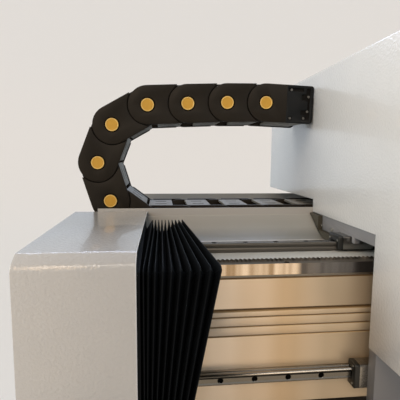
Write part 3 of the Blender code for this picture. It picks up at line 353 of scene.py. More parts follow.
# Milled aluminium beam: cutter lines run along it, and its soft streaks are painted reflections.
RAW_ALUMINIUM = Finish("raw_aluminium", "A8A49B", "9B978E", 0.40, metallic=0.75, patch=140, grain=0.9,
                       stretch=CUT_ALONG_X, dulling=0.10)
BRUSHED_ALUMINIUM = ReflectionPaintedFinish("milled_aluminium_painted_reflections", "FBE9D3", "F2DEC4", 0.38, metallic=0.42, patch=140,
                                   grain=0.9, stretch=CUT_ALONG_X, dulling=0.10, band=220, band_reflection="DCC29E",
                                   stretch_reflection="C2B196", stretch_start=-0.78, fade=0.25)
# The polished strip's bright bands and its dark stretch under the carriage are painted reflections.
POLISHED_ALUMINIUM = ReflectionPaintedFinish("polished_aluminium_painted_reflections", "FFF2E2", "FFEDD8", 0.20, metallic=0.85, patch=120,
                                    grain=0.9, depth=0.01, stretch=CUT_ALONG_X, band_reflection="B8A286",
                                    stretch_reflection="4A5058")
# The beam's top faces by the lip and the strip between the rack's teeth are painted darker as painted shade.
LIP_PAINTED_SHADE = Finish("lip_aluminium_painted_shade", "6A655D", "5B564F", 0.42, metallic=0.5, patch=90, grain=0.9,
                       stretch=CUT_ALONG_X)
# The faces inside the beam's grooves are painted darker and browner as painted shade.
GROOVE_PAINTED_SHADE = Finish("groove_aluminium_painted_shade", "A8906C", "967E5C", 0.45, metallic=0.6, grain=0.9,
                          stretch=CUT_ALONG_X)
MACHINED_ALUMINIUM = Finish("machined_aluminium", "B9B8B5", "A9A8A6", 0.36, metallic=0.9, grain=0.8)
# Small steel and brass parts: blackened, zinc plated bright or oily, and turned.
BLACK_OXIDE = Finish("black_oxide_steel", "2B2A29", "1F1E1E", 0.40, metallic=0.6, grain=1.0, depth=0.01)
ZINC = Finish("zinc_plated_steel", "B8B6AE", "A3A199", 0.30, metallic=1.0, patch=8, grain=0.8, depth=0.01)
OILED_ZINC = Finish("oiled_zinc_steel", "7C7B78", "686764", 0.42, metallic=0.8, patch=8, grain=0.8,
                    depth=0.01)
BRASS = Finish("turned_brass", "C29A5B", "B08A4D", 0.26, metallic=1.0, patch=12, grain=0.6, depth=0.01,
               stretch=(1.0, 1.0, 0.3))
END_CAP = Finish("moulded_end_cap", "131514", "1A1C1B", 0.40, patch=12, grain=1.0)
# Glass-filled nylon, moulded: near-black with a slight sheen and a fine texture. The crossbars are grey.
NYLON = Finish("moulded_nylon", "1F1B15", "26211A", 0.48, patch=25, grain=1.2, depth=0.03, gloss=0.15)
BRACKET_NYLON = Finish("moulded_bracket_nylon", "0B0D0F", "121517", 0.38, patch=20, grain=1.2, gloss=0.2)
CROSSBAR_NYLON = Finish("grey_crossbar_nylon", "7C7A70", "6E6C64", 0.50, patch=20, grain=1.2)
OCHRE_CAP = Finish("moulded_ochre_cap", "DAA835", "CD9A2D", 0.45, patch=10, grain=1.0)
# The cap's raised rim is painted paler than its hollow, as a painted highlight.
OCHRE_RIM_PAINTED_HIGHLIGHT = Finish("ochre_rim_painted_highlight", "F0CC76", "E6BE62", 0.40, patch=10, grain=1.0)
# Coated cloth: plain weave under a matt polyurethane skin, with folds that crease it.
COATED_CLOTH = Finish("coated_bellows_cloth", "07090C", "0E1216", 0.60, patch=18, grain=1.4, depth=0.10,
                      dulling=0.12, gloss=0.08)
# Walls of holes and grooves are painted near-black as painted shade, since they see little light.
HOLE_SHADE = Finish("hole_wall_painted_shade", "0D0C0B", "161412", 0.60, patch=5, grain=0.8, depth=0.01, gloss=0.1)
# A thin sheet by the saddle's cheek, painted dark as a painted shadow of the carriage cover.
SKIRT_PAINTED_SHADOW = Finish("skirt_painted_shadow", "504E46", "454339", 0.70, patch=20, grain=1.0, depth=0.03, gloss=0.2)


def clear_selection() -> None:
    """Leaves edit mode and deselects everything."""
    active = bpy.context.view_layer.objects.active
    if active and active.mode != "OBJECT":
        bpy.ops.object.mode_set(mode="OBJECT")
    bpy.ops.object.select_all(action="DESELECT")


def focus(piece: bpy.types.Object) -> None:
    """Makes a piece the only selected and active one."""
    clear_selection()
    piece.select_set(True)
    bpy.context.view_layer.objects.active = piece


def edit_all(piece: bpy.types.Object) -> None:
    """Opens a piece in edit mode with all of it selected."""
    focus(piece)
    bpy.ops.object.mode_set(mode="EDIT")
    bpy.ops.mesh.select_all(action="SELECT")


def turn_outwards(weld: bool = False) -> None:
    """Turns all faces of the piece in edit mode outwards.

    Args:
        weld: Whether points that meet are merged first.
    """
    bpy.ops.mesh.select_all(action="SELECT")
    if weld:
        bpy.ops.mesh.remove_doubles(threshold=WELD)
    bpy.ops.mesh.normals_make_consistent(inside=False)


def settle(piece: bpy.types.Object, name: str) -> bpy.types.Object:
    """Names a piece and moves its place, turn and scale into its mesh.

    Args:
        piece: The piece.
        name: Its name.

    Returns:
        The piece.
    """
    piece.name = name
    focus(piece)
    bpy.ops.object.transform_apply(location=True, rotation=True, scale=True)
    return piece


def block(name: str, low: Iterable[float], high: Iterable[float]) -> bpy.types.Object:
    """Starts a piece from a block.

    Args:
        name: The piece's name.
        low: Its lowest corner.
        high: Its highest corner.

    Returns:
        The piece.
    """
    low, high = Vector(low), Vector(high)
    clear_selection()
    bpy.ops.mesh.primitive_cube_add(size=1, location=(low + high) / 2, scale=high - low)
    return settle(bpy.context.object, name)


def chain_of_edges(points: Sequence[Vector], closed: bool) -> bpy.types.Object:
    """Draws edges from point to point by extruding one vertex.

    Args:
        points: The points in order.
        closed: Whether the last point joins the first.

    Returns:
        A piece in edit mode with all of it selected.
    """
    clear_selection()
    bpy.ops.mesh.primitive_plane_add(size=MM, location=points[0])
    bpy.ops.object.mode_set(mode="EDIT")
    bpy.ops.mesh.select_mode(type="VERT")
    bpy.ops.mesh.select_all(action="SELECT")
    bpy.ops.mesh.merge(type="CENTER")
    for last, point in zip(points, points[1:]):
        bpy.ops.mesh.extrude_vertices_move(TRANSFORM_OT_translate={"value": point - last})
    bpy.ops.mesh.select_all(action="SELECT")
    if closed:
        bpy.ops.mesh.edge_face_add()
    return bpy.context.object


def drawn(name: str, outline: Outline, axis: Axis, start: float, end: float) -> bpy.types.Object:
    """Fills an outline and extrudes it along an axis.

    Args:
        name: The piece's name.
        outline: Its corners in order.
        axis: The direction to extrude.
        start: Where the extrusion starts.
        end: Where it ends.

    Returns:
        The piece.
    """
    piece = chain_of_edges([axis.place(u, v, start) for u, v in outline], closed=True)
    step = axis.place(0, 0, end) - axis.place(0, 0, start)
    bpy.ops.mesh.extrude_region_move(TRANSFORM_OT_translate={"value": step})
    turn_outwards()
    return settle(piece, name)


def turned(name: str, profile: Outline, centre: Vector, axis: Axis, sides: int) -> bpy.types.Object:
    """Spins a profile of radius and distance along an axis into a smooth round piece.

    Args:
        name: The piece's name.
        profile: Radius and distance along the axis, from end to end.
        centre: The point that the distances start from.
        axis: The axis to spin about.
        sides: The number of steps in a turn.

    Returns:
        The piece.
    """
    centre = Vector(centre)
    points = [centre + axis.place(radius, 0, along) for radius, along in profile]
    piece = chain_of_edges(points, closed=False)
    bpy.ops.mesh.spin(steps=sides, angle=2 * math.pi, center=centre, axis=axis.place(0, 0, 1))
    turn_outwards(weld=True)
    return smooth(settle(piece, name))


def smooth(piece: bpy.types.Object) -> bpy.types.Object:
    """Shades a piece smooth, keeping its sharp edges.

    Args:
        piece: The piece.

    Returns:
        The piece.
    """
    focus(piece)
    bpy.ops.object.shade_smooth_by_angle(angle=SHARP_ANGLE)
    return piece


def finish_with(piece: bpy.types.Object, kind: str, **settings: Any) -> bpy.types.Object:
    """Adds a modifier and applies it.

    Args:
        piece: The piece.
        kind: The modifier's type name.
        **settings: Values for its properties.

    Returns:
        The piece.
    """
    focus(piece)
    step = piece.modifiers.new(kind.title(), kind)
    for key, value in settings.items():
        setattr(step, key, value)
    bpy.ops.object.modifier_apply(modifier=step.name)
    return piece


def ease(piece: bpy.types.Object, width: float, segments: int = 2) -> bpy.types.Object:
    """Rounds a piece's sharp edges and shades it smooth.

    Args:
        piece: The piece.
        width: How much each edge loses.
        segments: The number of steps in each edge.

    Returns:
        The piece.
    """
    finish_with(piece, "BEVEL", width=width, segments=segments, limit_method="ANGLE", angle_limit=SHARP_ANGLE,
                use_clamp_overlap=True, harden_normals=False)
    return smooth(piece)


def paint(piece: bpy.types.Object, finish: Finish, test: FaceTest | None = None) -> bpy.types.Object:
    """Gives a piece a finish, or only some of its faces.

    Args:
        piece: The piece.
        finish: The finish.
        test: A test of a face's centre and normal that the faces have to pass, or none for all.

    Returns:
        The piece.
    """
    clear_selection()
    material = finish.build()
    if test is None:
        piece.data.materials.clear()
        piece.data.materials.append(material)
        return piece
    piece.data.materials.append(material)
    index = len(piece.data.materials) - 1
    for face in piece.data.polygons:
        if test(face.center, face.normal):
            face.material_index = index
    return piece


def copy_at(piece: bpy.types.Object, name: str, place: Matrix) -> bpy.types.Object:
    """Copies a piece with its own mesh.

    Args:
        piece: The piece to copy.
        name: The copy's name.
        place: Where the copy's mesh goes.

    Returns:
        The copy.
    """
    focus(piece)
    bpy.ops.object.duplicate(linked=False)
    twin = bpy.context.object
    twin.matrix_world = place
    return settle(twin, name)


def merge_pieces(name: str, pieces: Sequence[bpy.types.Object]) -> bpy.types.Object:
    """Joins pieces into one.

    Args:
        name: Its name.
        pieces: The pieces to join.

    Returns:
        The one piece.
    """
    focus(pieces[0])
    for piece in pieces:
        piece.select_set(True)
    bpy.ops.object.join()
    bpy.context.object.name = name
    return bpy.context.object


def solid_copy(node: str) -> bpy.types.Object:
    """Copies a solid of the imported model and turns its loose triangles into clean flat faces.

    Args:
        node: The solid's name.

    Returns:
        The copy.
    """
    clear_selection()
    piece = bpy.data.objects.new(node + "_body", NODES[node].data.copy())
    bpy.context.scene.collection.objects.link(piece)
    for key in list(piece.keys()):
        del piece[key]
    edit_all(piece)
    bpy.ops.mesh.remove_doubles(threshold=WELD)
    bpy.ops.mesh.dissolve_limited(angle_limit=FLAT_ANGLE)
    bpy.ops.object.mode_set(mode="OBJECT")
    return piece


@dataclass(frozen=True)
class SunLamp:
    """A soft distant lamp.

    Attributes:
        name: Its name.
        angles: Its turn about X, Y and Z in degrees.
        strength: Its strength.
        spread: How wide its disc is, in degrees.
        tint: Its colour, as sRGB hex.
    """

    name: str
    angles: tuple[float, float, float]
    strength: float
    spread: float
    tint: str

    def build(self) -> None:
        """Makes the lamp, which the camera doesn't see."""
        data = bpy.data.lights.new(self.name, "SUN")
        data.energy = self.strength
        data.angle = math.radians(self.spread)
        data.color = linear(self.tint)[:3]
        lamp = bpy.data.objects.new(self.name, data)
        lamp.rotation_euler = [math.radians(a) for a in self.angles]
        lamp.visible_camera = False
        bpy.context.scene.collection.objects.link(lamp)


@dataclass(frozen=True)
class WindowRow:
    """A row of high windows, which shows only in gloss, as a gleam on the folded edges.

    Attributes:
        name: Its name.
        offset: How far it stands along Y and above what it lights.
        power: Its power in watts.
        tint: Its colour, as sRGB hex.
        target: What it lights.
        size: Its length and height.
    """

    name: str
    offset: Point
    power: float
    tint: str
    target: tuple[float, float, float] = (-1.1, -1.7, 1.2)
    size: Point = (8.0, 0.9)

    def build(self) -> None:
        """Makes the row as one lamp that turns to what it lights."""
        across, up = self.offset
        x, y, z = self.target
        data = bpy.data.lights.new(self.name, "AREA")
        data.shape = "RECTANGLE"
        data.size, data.size_y = self.size
        data.energy = self.power
        data.color = linear(self.tint)[:3]
        lamp = bpy.data.objects.new(self.name, data)
        lamp.location = x, y + across, z + up
        lamp.rotation_euler = math.atan2(-across, up), 0, 0
        lamp.visible_camera = False
        lamp.visible_diffuse = False
        bpy.context.scene.collection.objects.link(lamp)


@dataclass
class Studio:
    """The pale floor and backdrop, the lamps, and the camera at the photograph's place."""

    focal_px: float = 385.0
    frame_px: float = 400.0
    sensor_mm: float = 36.0
    near_clip: float = 0.05
    eye: tuple[float, float, float] = (-1.039, -2.24, 1.3595)
    yaw: float = 6.2
    pitch: float = 6.7
    roll: float = 0.42
    reach: float = 90.0
    corner: float = 4.0
    backdrop_y: float = 9.0
    wall: float = 12.0
    matt: str = "B9B9B8"
    pale: str = "E9E9E8"
    front_pale: str = "F4DFC4"
    back_pale: str = "C8D2DD"
    pale_change: Point = (-3.0, 1.0)
    floor_glow: float = 0.45
    gloss_glow: float = 0.95
    sky: str = "E4E8EE"
    sky_strength: float = 0.45
    lamps: tuple[SunLamp | WindowRow, ...] = (
        SunLamp("back_light", (48, 0, 158), 1.4, 28, "CCDEFF"),
        SunLamp("front_light", (52, 0, -30), 1.08, 35, "FFD9AC"),
        SunLamp("left_light", (79, 0, -93), 2.1, 40, "FCFAF4"),
        WindowRow("windows_behind", (5.5, 4.4), 150.0, "D8E4FF"),
        WindowRow("windows_in_front", (-3.6, 4.8), 125.0, "FFFAF2"))

    def camera(self) -> None:
        """Places the camera."""
        data = bpy.data.cameras.new("camera")
        data.sensor_width = self.sensor_mm
        data.lens = self.focal_px / self.frame_px * self.sensor_mm
        data.clip_start = self.near_clip
        camera = bpy.data.objects.new("camera", data)
        bpy.context.scene.collection.objects.link(camera)
        turn = (Matrix.Rotation(-math.radians(self.yaw), 4, "Z")
                @ Matrix.Rotation(math.radians(90 - self.pitch), 4, "X")
                @ Matrix.Rotation(math.radians(self.roll), 4, "Z"))
        camera.matrix_world = Matrix.Translation(self.eye) @ turn
        bpy.context.scene.camera = camera

    def pale_material(self) -> bpy.types.Material:
        """A surface that takes shadows and shows plain and pale to the camera and in gloss.

        Returns:
            The material. In gloss it is warm in front of the machine and cool behind it.
        """
        material = bpy.data.materials.new("pale_studio")
        material.use_nodes = True
        tree = material.node_tree
        tree.nodes.clear()
        path = add_node(tree, "ShaderNodeLightPath")
        matt = add_node(tree, "ShaderNodeBsdfDiffuse", {"Color": linear(self.matt)})
        glow = add_node(tree, "ShaderNodeEmission", {"Color": linear(self.pale), "Strength": self.floor_glow})
        both = add_node(tree, "ShaderNodeAddShader", n0=matt.outputs["BSDF"], n1=glow.outputs["Emission"])
        spot = add_node(tree, "ShaderNodeSeparateXYZ",
                        Vector=add_node(tree, "ShaderNodeNewGeometry").outputs["Position"])
        behind = add_node(tree, "ShaderNodeMapRange",
                          {"From Min": self.pale_change[0], "From Max": self.pale_change[1]},
                          Value=spot.outputs["Y"])
        hall = add_node(tree, "ShaderNodeMix",
                        {"data_type": "RGBA", 6: linear(self.front_pale), 7: linear(self.back_pale)},
                        n0=behind.outputs["Result"])
        plain = add_node(tree, "ShaderNodeEmission", {"Strength": self.gloss_glow}, Color=hall.outputs[2])
        seen = add_node(tree, "ShaderNodeMath", {"operation": "MAXIMUM"}, n0=path.outputs["Is Glossy Ray"],
                        n1=path.outputs["Is Transmission Ray"])
        choice = add_node(tree, "ShaderNodeMixShader", n0=seen.outputs["Value"], n1=both.outputs["Shader"],
                          n2=plain.outputs["Emission"])
        add_node(tree, "ShaderNodeOutputMaterial", Surface=choice.outputs["Shader"])
        return material

    def backdrop(self) -> None:
        """One sheet: floor, a rounded corner, and a wall behind."""
        outline = [(-self.reach, 0), (self.backdrop_y - self.corner, 0)]
        outline += [(self.backdrop_y - self.corner + self.corner * math.sin(t),
                     self.corner * (1 - math.cos(t))) for t in (math.radians(a) for a in range(10, 91, 10))]
        outline.append((self.backdrop_y, self.wall))
        sheet = chain_of_edges([Vector((-self.reach, u, v)) for u, v in outline], closed=False)
        bpy.ops.mesh.extrude_region_move(TRANSFORM_OT_translate={"value": (2 * self.reach, 0, 0)})
        sheet = smooth(settle(sheet, "backdrop"))
        sheet.data.materials.append(self.pale_material())

    def world(self) -> None:
        """An even light from all round, and the same pale tone beyond the backdrop as on it."""
        world = bpy.data.worlds.new("studio")
        world.use_nodes = True
        tree = world.node_tree
        shade = tree.nodes["Background"]
        shade.inputs["Color"].default_value = linear(self.sky)
        shade.inputs["Strength"].default_value = self.sky_strength
        path = add_node(tree, "ShaderNodeLightPath")
        seen = add_node(tree, "ShaderNodeBackground",
                        {"Color": linear(self.pale), "Strength": self.gloss_glow})
        direct = add_node(tree, "ShaderNodeMath", {"operation": "MAXIMUM"}, n0=path.outputs["Is Camera Ray"],
                          n1=path.outputs["Is Glossy Ray"])
        choice = add_node(tree, "ShaderNodeMixShader", n0=direct.outputs["Value"],
                          n1=shade.outputs["Background"], n2=seen.outputs["Background"])
        tree.links.new(choice.outputs["Shader"], tree.nodes["World Output"].inputs["Surface"])
        bpy.context.scene.world = world

    def build(self) -> None:
        """Makes the studio."""
        bpy.context.scene.view_settings.view_transform = "Standard"
        self.camera()
        self.backdrop()
        for lamp in self.lamps:
            lamp.build()
        self.world()


def boolean(piece: bpy.types.Object, other: bpy.types.Object) -> bpy.types.Object:
    """Cuts another piece out of one, and removes the other.

    Args:
        piece: The piece to cut.
        other: The piece to cut out.

    Returns:
        The piece.
    """
    finish_with(piece, "BOOLEAN", object=other, operation="DIFFERENCE", solver="EXACT")
    bpy.data.objects.remove(other)
    return piece


def score(piece: bpy.types.Object, axis: Axis, *places: float) -> bpy.types.Object:
    """Adds edges round a piece where planes across an axis cut it.

    Args:
        piece: The piece.
        axis: The axis that the planes stand across.
        *places: The planes' places along the axis.

    Returns:
        The piece.
    """
    for place in places:
        edit_all(piece)
        bpy.ops.mesh.bisect(plane_co=axis.place(0, 0, place), plane_no=axis.place(0, 0, 1))
        bpy.ops.object.mode_set(mode="OBJECT")
    return piece


def arc(centre: Point, radius: float, start: float, end: float, steps: int) -> list[Point]:
    """Points of an arc.

    Args:
        centre: Its centre.
        radius: Its radius.
        start: The angle that it starts at, in degrees.
        end: The angle that it ends at.
        steps: The number of steps between its points.

    Returns:
        The points.
    """
    angles = [math.radians(start + (end - start) * i / steps) for i in range(steps + 1)]
    return [(centre[0] + radius * math.cos(a), centre[1] + radius * math.sin(a)) for a in angles]


def evenly(count: int, low: float, high: float) -> list[float]:
    """Places with the same step from low to high."""
    return [low + (high - low) * i / (count - 1) for i in range(count)]


def corners(node: str) -> tuple[Vector, Vector]:
    """The lowest and highest corners of a solid."""
    low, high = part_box(node)
    return Vector(low), Vector(high)


class Facing(Enum):
    """The side that a fastener's head or a hole's mouth looks to."""

    FRONT = (0.0, -1.0, 0.0)
    BACK = (0.0, 1.0, 0.0)
    UP = (0.0, 0.0, 1.0)
    DOWN = (0.0, 0.0, -1.0)
    LEFT = (-1.0, 0.0, 0.0)
    RIGHT = (1.0, 0.0, 0.0)

    def turn(self) -> Matrix:
        """The turn that takes Z to this side."""
        return Vector(self.value).to_track_quat("Z", "Y").to_matrix().to_4x4()


def copies_of(master: bpy.types.Object, name: str, points: Sequence[Sequence[float]],
              side: Facing) -> bpy.types.Object:
    """Copies a piece to each point and removes it.

    Args:
        master: The piece, which stands along Z at the origin.
        name: The name of the set.
        points: Where the copies go.
        side: The side that they look to.

    Returns:
        All the copies as one piece.
    """
    turn = side.turn()
    copies = [copy_at(master, name, Matrix.Translation(point) @ turn) for point in points]
    bpy.data.objects.remove(master)
    return merge_pieces(name, copies)


@dataclass(frozen=True)
class CapScrew:
    """A socket head cap screw: a round head with a hexagon socket.

    Attributes:
        radius: The head's radius.
        height: How far the head stands out.
        finish: Its finish.
        curve: The head's profile from the socket's floor to its seat, as shares of the radius and the height.
        sides: The number of its sides.
    """

    radius: float = 4.0 * MM
    height: float = 2.5 * MM
    finish: Finish = BLACK_OXIDE
    curve: tuple[Point, ...] = ((0, 0.35), (0.5, 0.35), (0.5, 0.98), (0.56, 1), (0.88, 1), (1, 0.85), (1, 0),
                                (0, 0))
    sides: int = 12

    def place(self, name: str, points: Sequence[Sequence[float]], side: Facing) -> bpy.types.Object:
        """Makes one screw and copies it to each point.

        Args:
            name: The name of the set.
            points: The middle of each head's seat.
            side: The side that the heads look to.

        Returns:
            All the screws as one piece.
        """
        profile = [(self.radius * across, self.height * up) for across, up in self.curve]
        master = paint(turned(name, profile, Vector(), Axis.Z, self.sides), self.finish)
        return copies_of(master, name, points, side)


def node_facts(node: str) -> tuple[str, str]:
    """The body that a solid rides on and its material slot, from the record."""
    body = next(name for name, nodes in RECORD["behaviour"]["bodies"].items() if node in nodes)
    slot = next(row["material_slot"] for row in RECORD["subparts"] if row["node"] == node)
    return body, slot


def stand_in(piece: bpy.types.Object, *nodes: str) -> bpy.types.Object:
    """Rides a finished piece on the body of the solids that it stands for.

    Args:
        piece: The piece.
        *nodes: The solids, the first of which gives the body.

    Returns:
        The piece.
    """
    body, slot = node_facts(nodes[0])
    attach(piece, body)
    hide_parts(*nodes)
    LOG.info("%s rides on %s", piece.name, body)
    return piece


def dress(node: str, finish: Finish, edge: float, *extras: bpy.types.Object) -> bpy.types.Object:
    """Replaces a solid by a copy with rounded edges and a finish.

    Args:
        node: The solid's name.
        finish: Its finish.
        edge: How much its edges lose.
        *extras: Small pieces that are fixed to it, such as its screws.

    Returns:
        The new piece.
    """
    piece = paint(ease(solid_copy(node), edge), finish)
    if extras:
        piece = merge_pieces(piece.name, [piece, *extras])
    return stand_in(piece, node)


def drill(piece: bpy.types.Object, points: Sequence[Sequence[float]], radius: float, depth: float,
          side: Facing, sides: int = 20) -> bpy.types.Object:
    """Drills round holes into a piece.

    Args:
        piece: The piece.
        points: The middle of each hole's mouth.
        radius: The holes' radius.
        depth: Their depth.
        side: The side that their mouths look to.
        sides: The number of their sides.

    Returns:
        The piece.
    """
    profile = [(0, MM), (radius, MM), (radius, -depth), (0, -depth)]
    master = turned("drill", profile, Vector(), Axis.Z, sides)
    return boolean(piece, copies_of(master, "drills", points, side))


def round_edges(piece: bpy.types.Object, test: FaceTest, width: float, segments: int) -> bpy.types.Object:
    """Rounds some of a piece's edges.

    Args:
        piece: The piece.
        test: A test of an edge's middle and direction that the edges have to pass.
        width: How much each edge loses.
        segments: The number of steps in each edge.

    Returns:
        The piece.
    """
    focus(piece)
    bpy.ops.object.mode_set(mode="EDIT")
    bpy.ops.mesh.select_mode(type="EDGE")
    bpy.ops.mesh.select_all(action="DESELECT")
    bpy.ops.object.mode_set(mode="OBJECT")
    for edge in piece.data.edges:
        a, b = (piece.data.vertices[i].co for i in edge.vertices)
        edge.select = test((a + b) / 2, (b - a).normalized())
    bpy.ops.object.mode_set(mode="EDIT")
    bpy.ops.mesh.bevel(offset=width, segments=segments, profile=0.5)
    bpy.ops.object.mode_set(mode="OBJECT")
    return piece


class End(Enum):
    """The shape of a chain plate's end."""

    ROUND = "round"
    HOLLOW = "hollow"
    SQUARE = "square"

    def opposite(self) -> End:
        """The end that the plate in the other layer has beside this one."""
        return {End.ROUND: End.HOLLOW, End.HOLLOW: End.ROUND, End.SQUARE: End.SQUARE}[self]


@dataclass(frozen=True)
class LinkForm:
    """The form of a link's or bracket's plates.

    Attributes:
        length: From pin to pin.
        first: The shape of the start.
        last: The shape of the end.
    """

    length: float
    first: End
    last: End

    def outer(self) -> LinkForm:
        """The form of the outer plates that go with these inner ones."""
        return LinkForm(self.length, self.first.opposite(), self.last.opposite())


@dataclass
class DragChain:
    """The cable chain: plates with round tongues and hollows, ochre pin caps, crossbars, and two brackets.

    A link is made with its length along X and its near face at Y 0. The bracket's screws and slots are
    given in millimetres along it and above its middle.
    """

    pitch: float = 90 * MM
    radius: float = 43 * MM
    tongue: float = 41.8 * MM
    width: float = 139 * MM
    layer: float = 7 * MM
    gap: float = 0.3 * MM
    run_gap: float = 2.2 * MM
    hollow_half: float = 50.0
    steps: int = 20
    corner: float = 6 * MM
    corner_steps: int = 5
    plate_edge: float = 1.1 * MM
    tongue_edge: float = 0.5 * MM
    bar_edge: float = 0.7 * MM
    bar_ends: Point = (13.5 * MM, 20.5 * MM)
    bar_slot: Point = (26 * MM, 5 * MM)
    bar_slot_places: Point = (1 / 3, 2 / 3)
    bar_thick: float = 5.4 * MM
    bar_inset: float = 0.8 * MM
    web: Point = (3.4 * MM, 2 * MM)
    web_share: float = 0.8
    cap_radius: float = 14.4 * MM
    cap_rise: float = 1.4 * MM
    cap_rim: float = 2.4 * MM
    cap_sink: float = 1.5 * MM
    cap_hollow: Point = (0.55, 0.5)
    cap_curve: tuple[Point, ...] = ((1.7 * MM, 0.95), (1.0 * MM, 1.0), (0.3 * MM, 0.8), (0.0, 0.4))
    cap_groove: Point = (2.4 * MM, 2.6 * MM)
    round_sides: int = 32
    near_y: float = -1.360
    start: Point = (-0.7924, 1.4792)
    headings: tuple[float, ...] = (181.1, 182.5, 183.0, 209.7, 248.7, 287.0, 323.3, 360.0, 360.0, 360.0,
                                   360.0)
    tilt: float = -2.0
    bracket: float = 0.1112
    tail: float = 0.105
    panel: Point = (4 * MM, 62 * MM)
    panel_rim: float = 4 * MM
    panel_depth: float = 1.6 * MM
    slot_depth: float = 4.5 * MM
    screw: CapScrew = CapScrew(2.8 * MM, 1.8 * MM, OILED_ZINC)
    screws: tuple[Point, ...] = ((52, -32.6), (20, -33.3), (10.5, -18.7), (52.2, 31.7), (19.8, 30.7),
                                 (11.5, 14.8))
    slots: tuple[tuple[float, float, float, float], ...] = (
        (23, -37, 60, -29), (7, -37.4, 17, -8), (16, -24, 28, -10), (8, -9, 12.9, 12), (7, 11, 16.5, 34),
        (15, 12, 28, 24), (48, 27.5, 56.4, 36), (15.6, 26.5, 24, 35))

    def span(self, near: bool, start: float, end: float) -> Point:
        """Two depths under the near or the far face, as places across the chain."""
        return (start, end) if near else (self.width - end, self.width - start)

    def outline(self, radius: float, form: LinkForm) -> list[Point]:
        """A plate seen from its side.

        Args:
            radius: Half the plate's height.
            form: The form of the plate.

        Returns:
            The outline's corners.
        """
        length, corner, steps = form.length, self.corner, self.corner_steps
        hollow, half = radius + self.run_gap, self.hollow_half
        angle = math.radians(half)
        shoulder = (hollow * math.cos(angle) - (radius - hollow * math.sin(angle)) * math.tan(angle)
                    + self.run_gap)
        ends = {End.ROUND: arc((length, 0), radius, -90, 90, self.steps),
                End.HOLLOW: [(length - shoulder, -radius)]
                + arc((length, 0), hollow, 180 + half, 180 - half, self.steps)
                + [(length - shoulder, radius)],
                End.SQUARE: arc((length - corner, corner - radius), corner, -90, 0, steps)
                + arc((length - corner, radius - corner), corner, 0, 90, steps)}
        starts = {End.ROUND: arc((0, 0), radius, 90, 270, self.steps),
                  End.HOLLOW: [(shoulder, radius)] + arc((0, 0), hollow, half, -half, self.steps)
                  + [(shoulder, -radius)],
                  End.SQUARE: arc((corner, radius - corner), corner, 90, 180, steps)
                  + arc((corner, corner - radius), corner, 180, 270, steps)}
        return ends[form.last] + starts[form.first]

    def cap(self, length: float, near: bool) -> bpy.types.Object:
        """The ochre pin cap: a flat disc with a raised, rounded rim painted pale as a painted highlight.

        Args:
            length: The pin's place along the link.
            near: Whether it is on the near side.

        Returns:
            The cap.
        """
        r, out = self.cap_radius, self.cap_rise
        curve = [(0, out * self.cap_hollow[0]), (r - self.cap_rim, out * self.cap_hollow[1])]
        curve += [(r - inset, out * share) for inset, share in self.cap_curve]
        curve += [(r, -self.cap_sink), (0, -self.cap_sink)]
        profile = [(radius, -along if near else self.width + along) for radius, along in curve]
        cap = paint(turned("cap", profile, Vector((length, 0, 0)), Axis.Y, self.round_sides), OCHRE_CAP)
        # The rim is painted paler as a painted highlight.
        return paint(cap, OCHRE_RIM_PAINTED_HIGHLIGHT, lambda c, n: math.hypot(c.x - length, c.z) > r - self.cap_rim)

    def groove(self, plate: bpy.types.Object, length: float, near: bool) -> None:
        """Sinks the round groove about the pin cap into a plate.

        Args:
            plate: The plate.
            length: The pin's place along the link.
            near: Whether the plate is on the near side.
        """
        inner, (wide, sunk) = self.cap_radius, self.cap_groove
        ring = [(inner, -self.layer), (inner + wide, -self.layer), (inner + wide, sunk), (inner, sunk)]
        base, way = (0, 1) if near else (self.width, -1)
        chain_of_edges([Vector((length + radius, base + way * along, 0)) for radius, along in ring],
                       closed=True)
        bpy.ops.mesh.spin(steps=self.round_sides, angle=2 * math.pi, center=(length, 0, 0), axis=(0, 1, 0))
        turn_outwards(weld=True)
        boolean(plate, settle(bpy.context.object, "ring"))

    def recess(self, plate: bpy.types.Object, near: bool) -> None:
        """Sinks the bracket's panel and its slots into a plate.

        Args:
            plate: The plate.
            near: Whether it is on the near side.
        """
        (y0, y1), edge = self.span(near, -MM, self.panel_depth), self.radius - self.panel_rim
        boolean(plate, block("panel", (self.panel[0], y0, -edge), (self.panel[1], y1, edge)))
        y0, y1 = self.span(near, -MM, self.slot_depth)
        for x0, z0, x1, z1 in self.slots:
            boolean(plate, block("slot", (x0 * MM, y0, z0 * MM), (x1 * MM, y1, z1 * MM)))

    def plate(self, name: str, form: LinkForm, near: bool) -> bpy.types.Object:
        """An outer plate, with its groove about the cap or its bracket's panel.

        Args:
            name: The piece's name.
            form: The form of the link's inner plates.
            near: Whether it is on the near side.

        Returns:
            The plate.
        """
        outline = self.outline(self.radius, form.outer())
        plate = drawn(name, outline, Axis.Y, *self.span(near, 0, self.layer))
        if form.last is not End.SQUARE:
            self.groove(plate, form.length, near)
        if form.first is End.SQUARE:
            self.recess(plate, near)
        paint(ease(plate, self.plate_edge), NYLON)
        if form.last is not End.SQUARE:
            reach = self.cap_radius + self.cap_groove[0]
            paint(plate, HOLE_SHADE, lambda c, n: math.hypot(c.x - form.length, c.z) < reach)
        if form.first is End.SQUARE:
            border = self.panel[1] + MM
            deep, deepest = self.panel_depth + INSIDE, self.slot_depth + INSIDE
            score(plate, Axis.X, border)
            paint(plate, BRACKET_NYLON, lambda c, n: c.x < border)
            paint(plate, HOLE_SHADE, lambda c, n: c.x < self.panel[1]
                  and abs(c.z) < self.radius - self.panel_rim
                  and deep < (c.y if near else self.width - c.y) < deepest)
        return plate

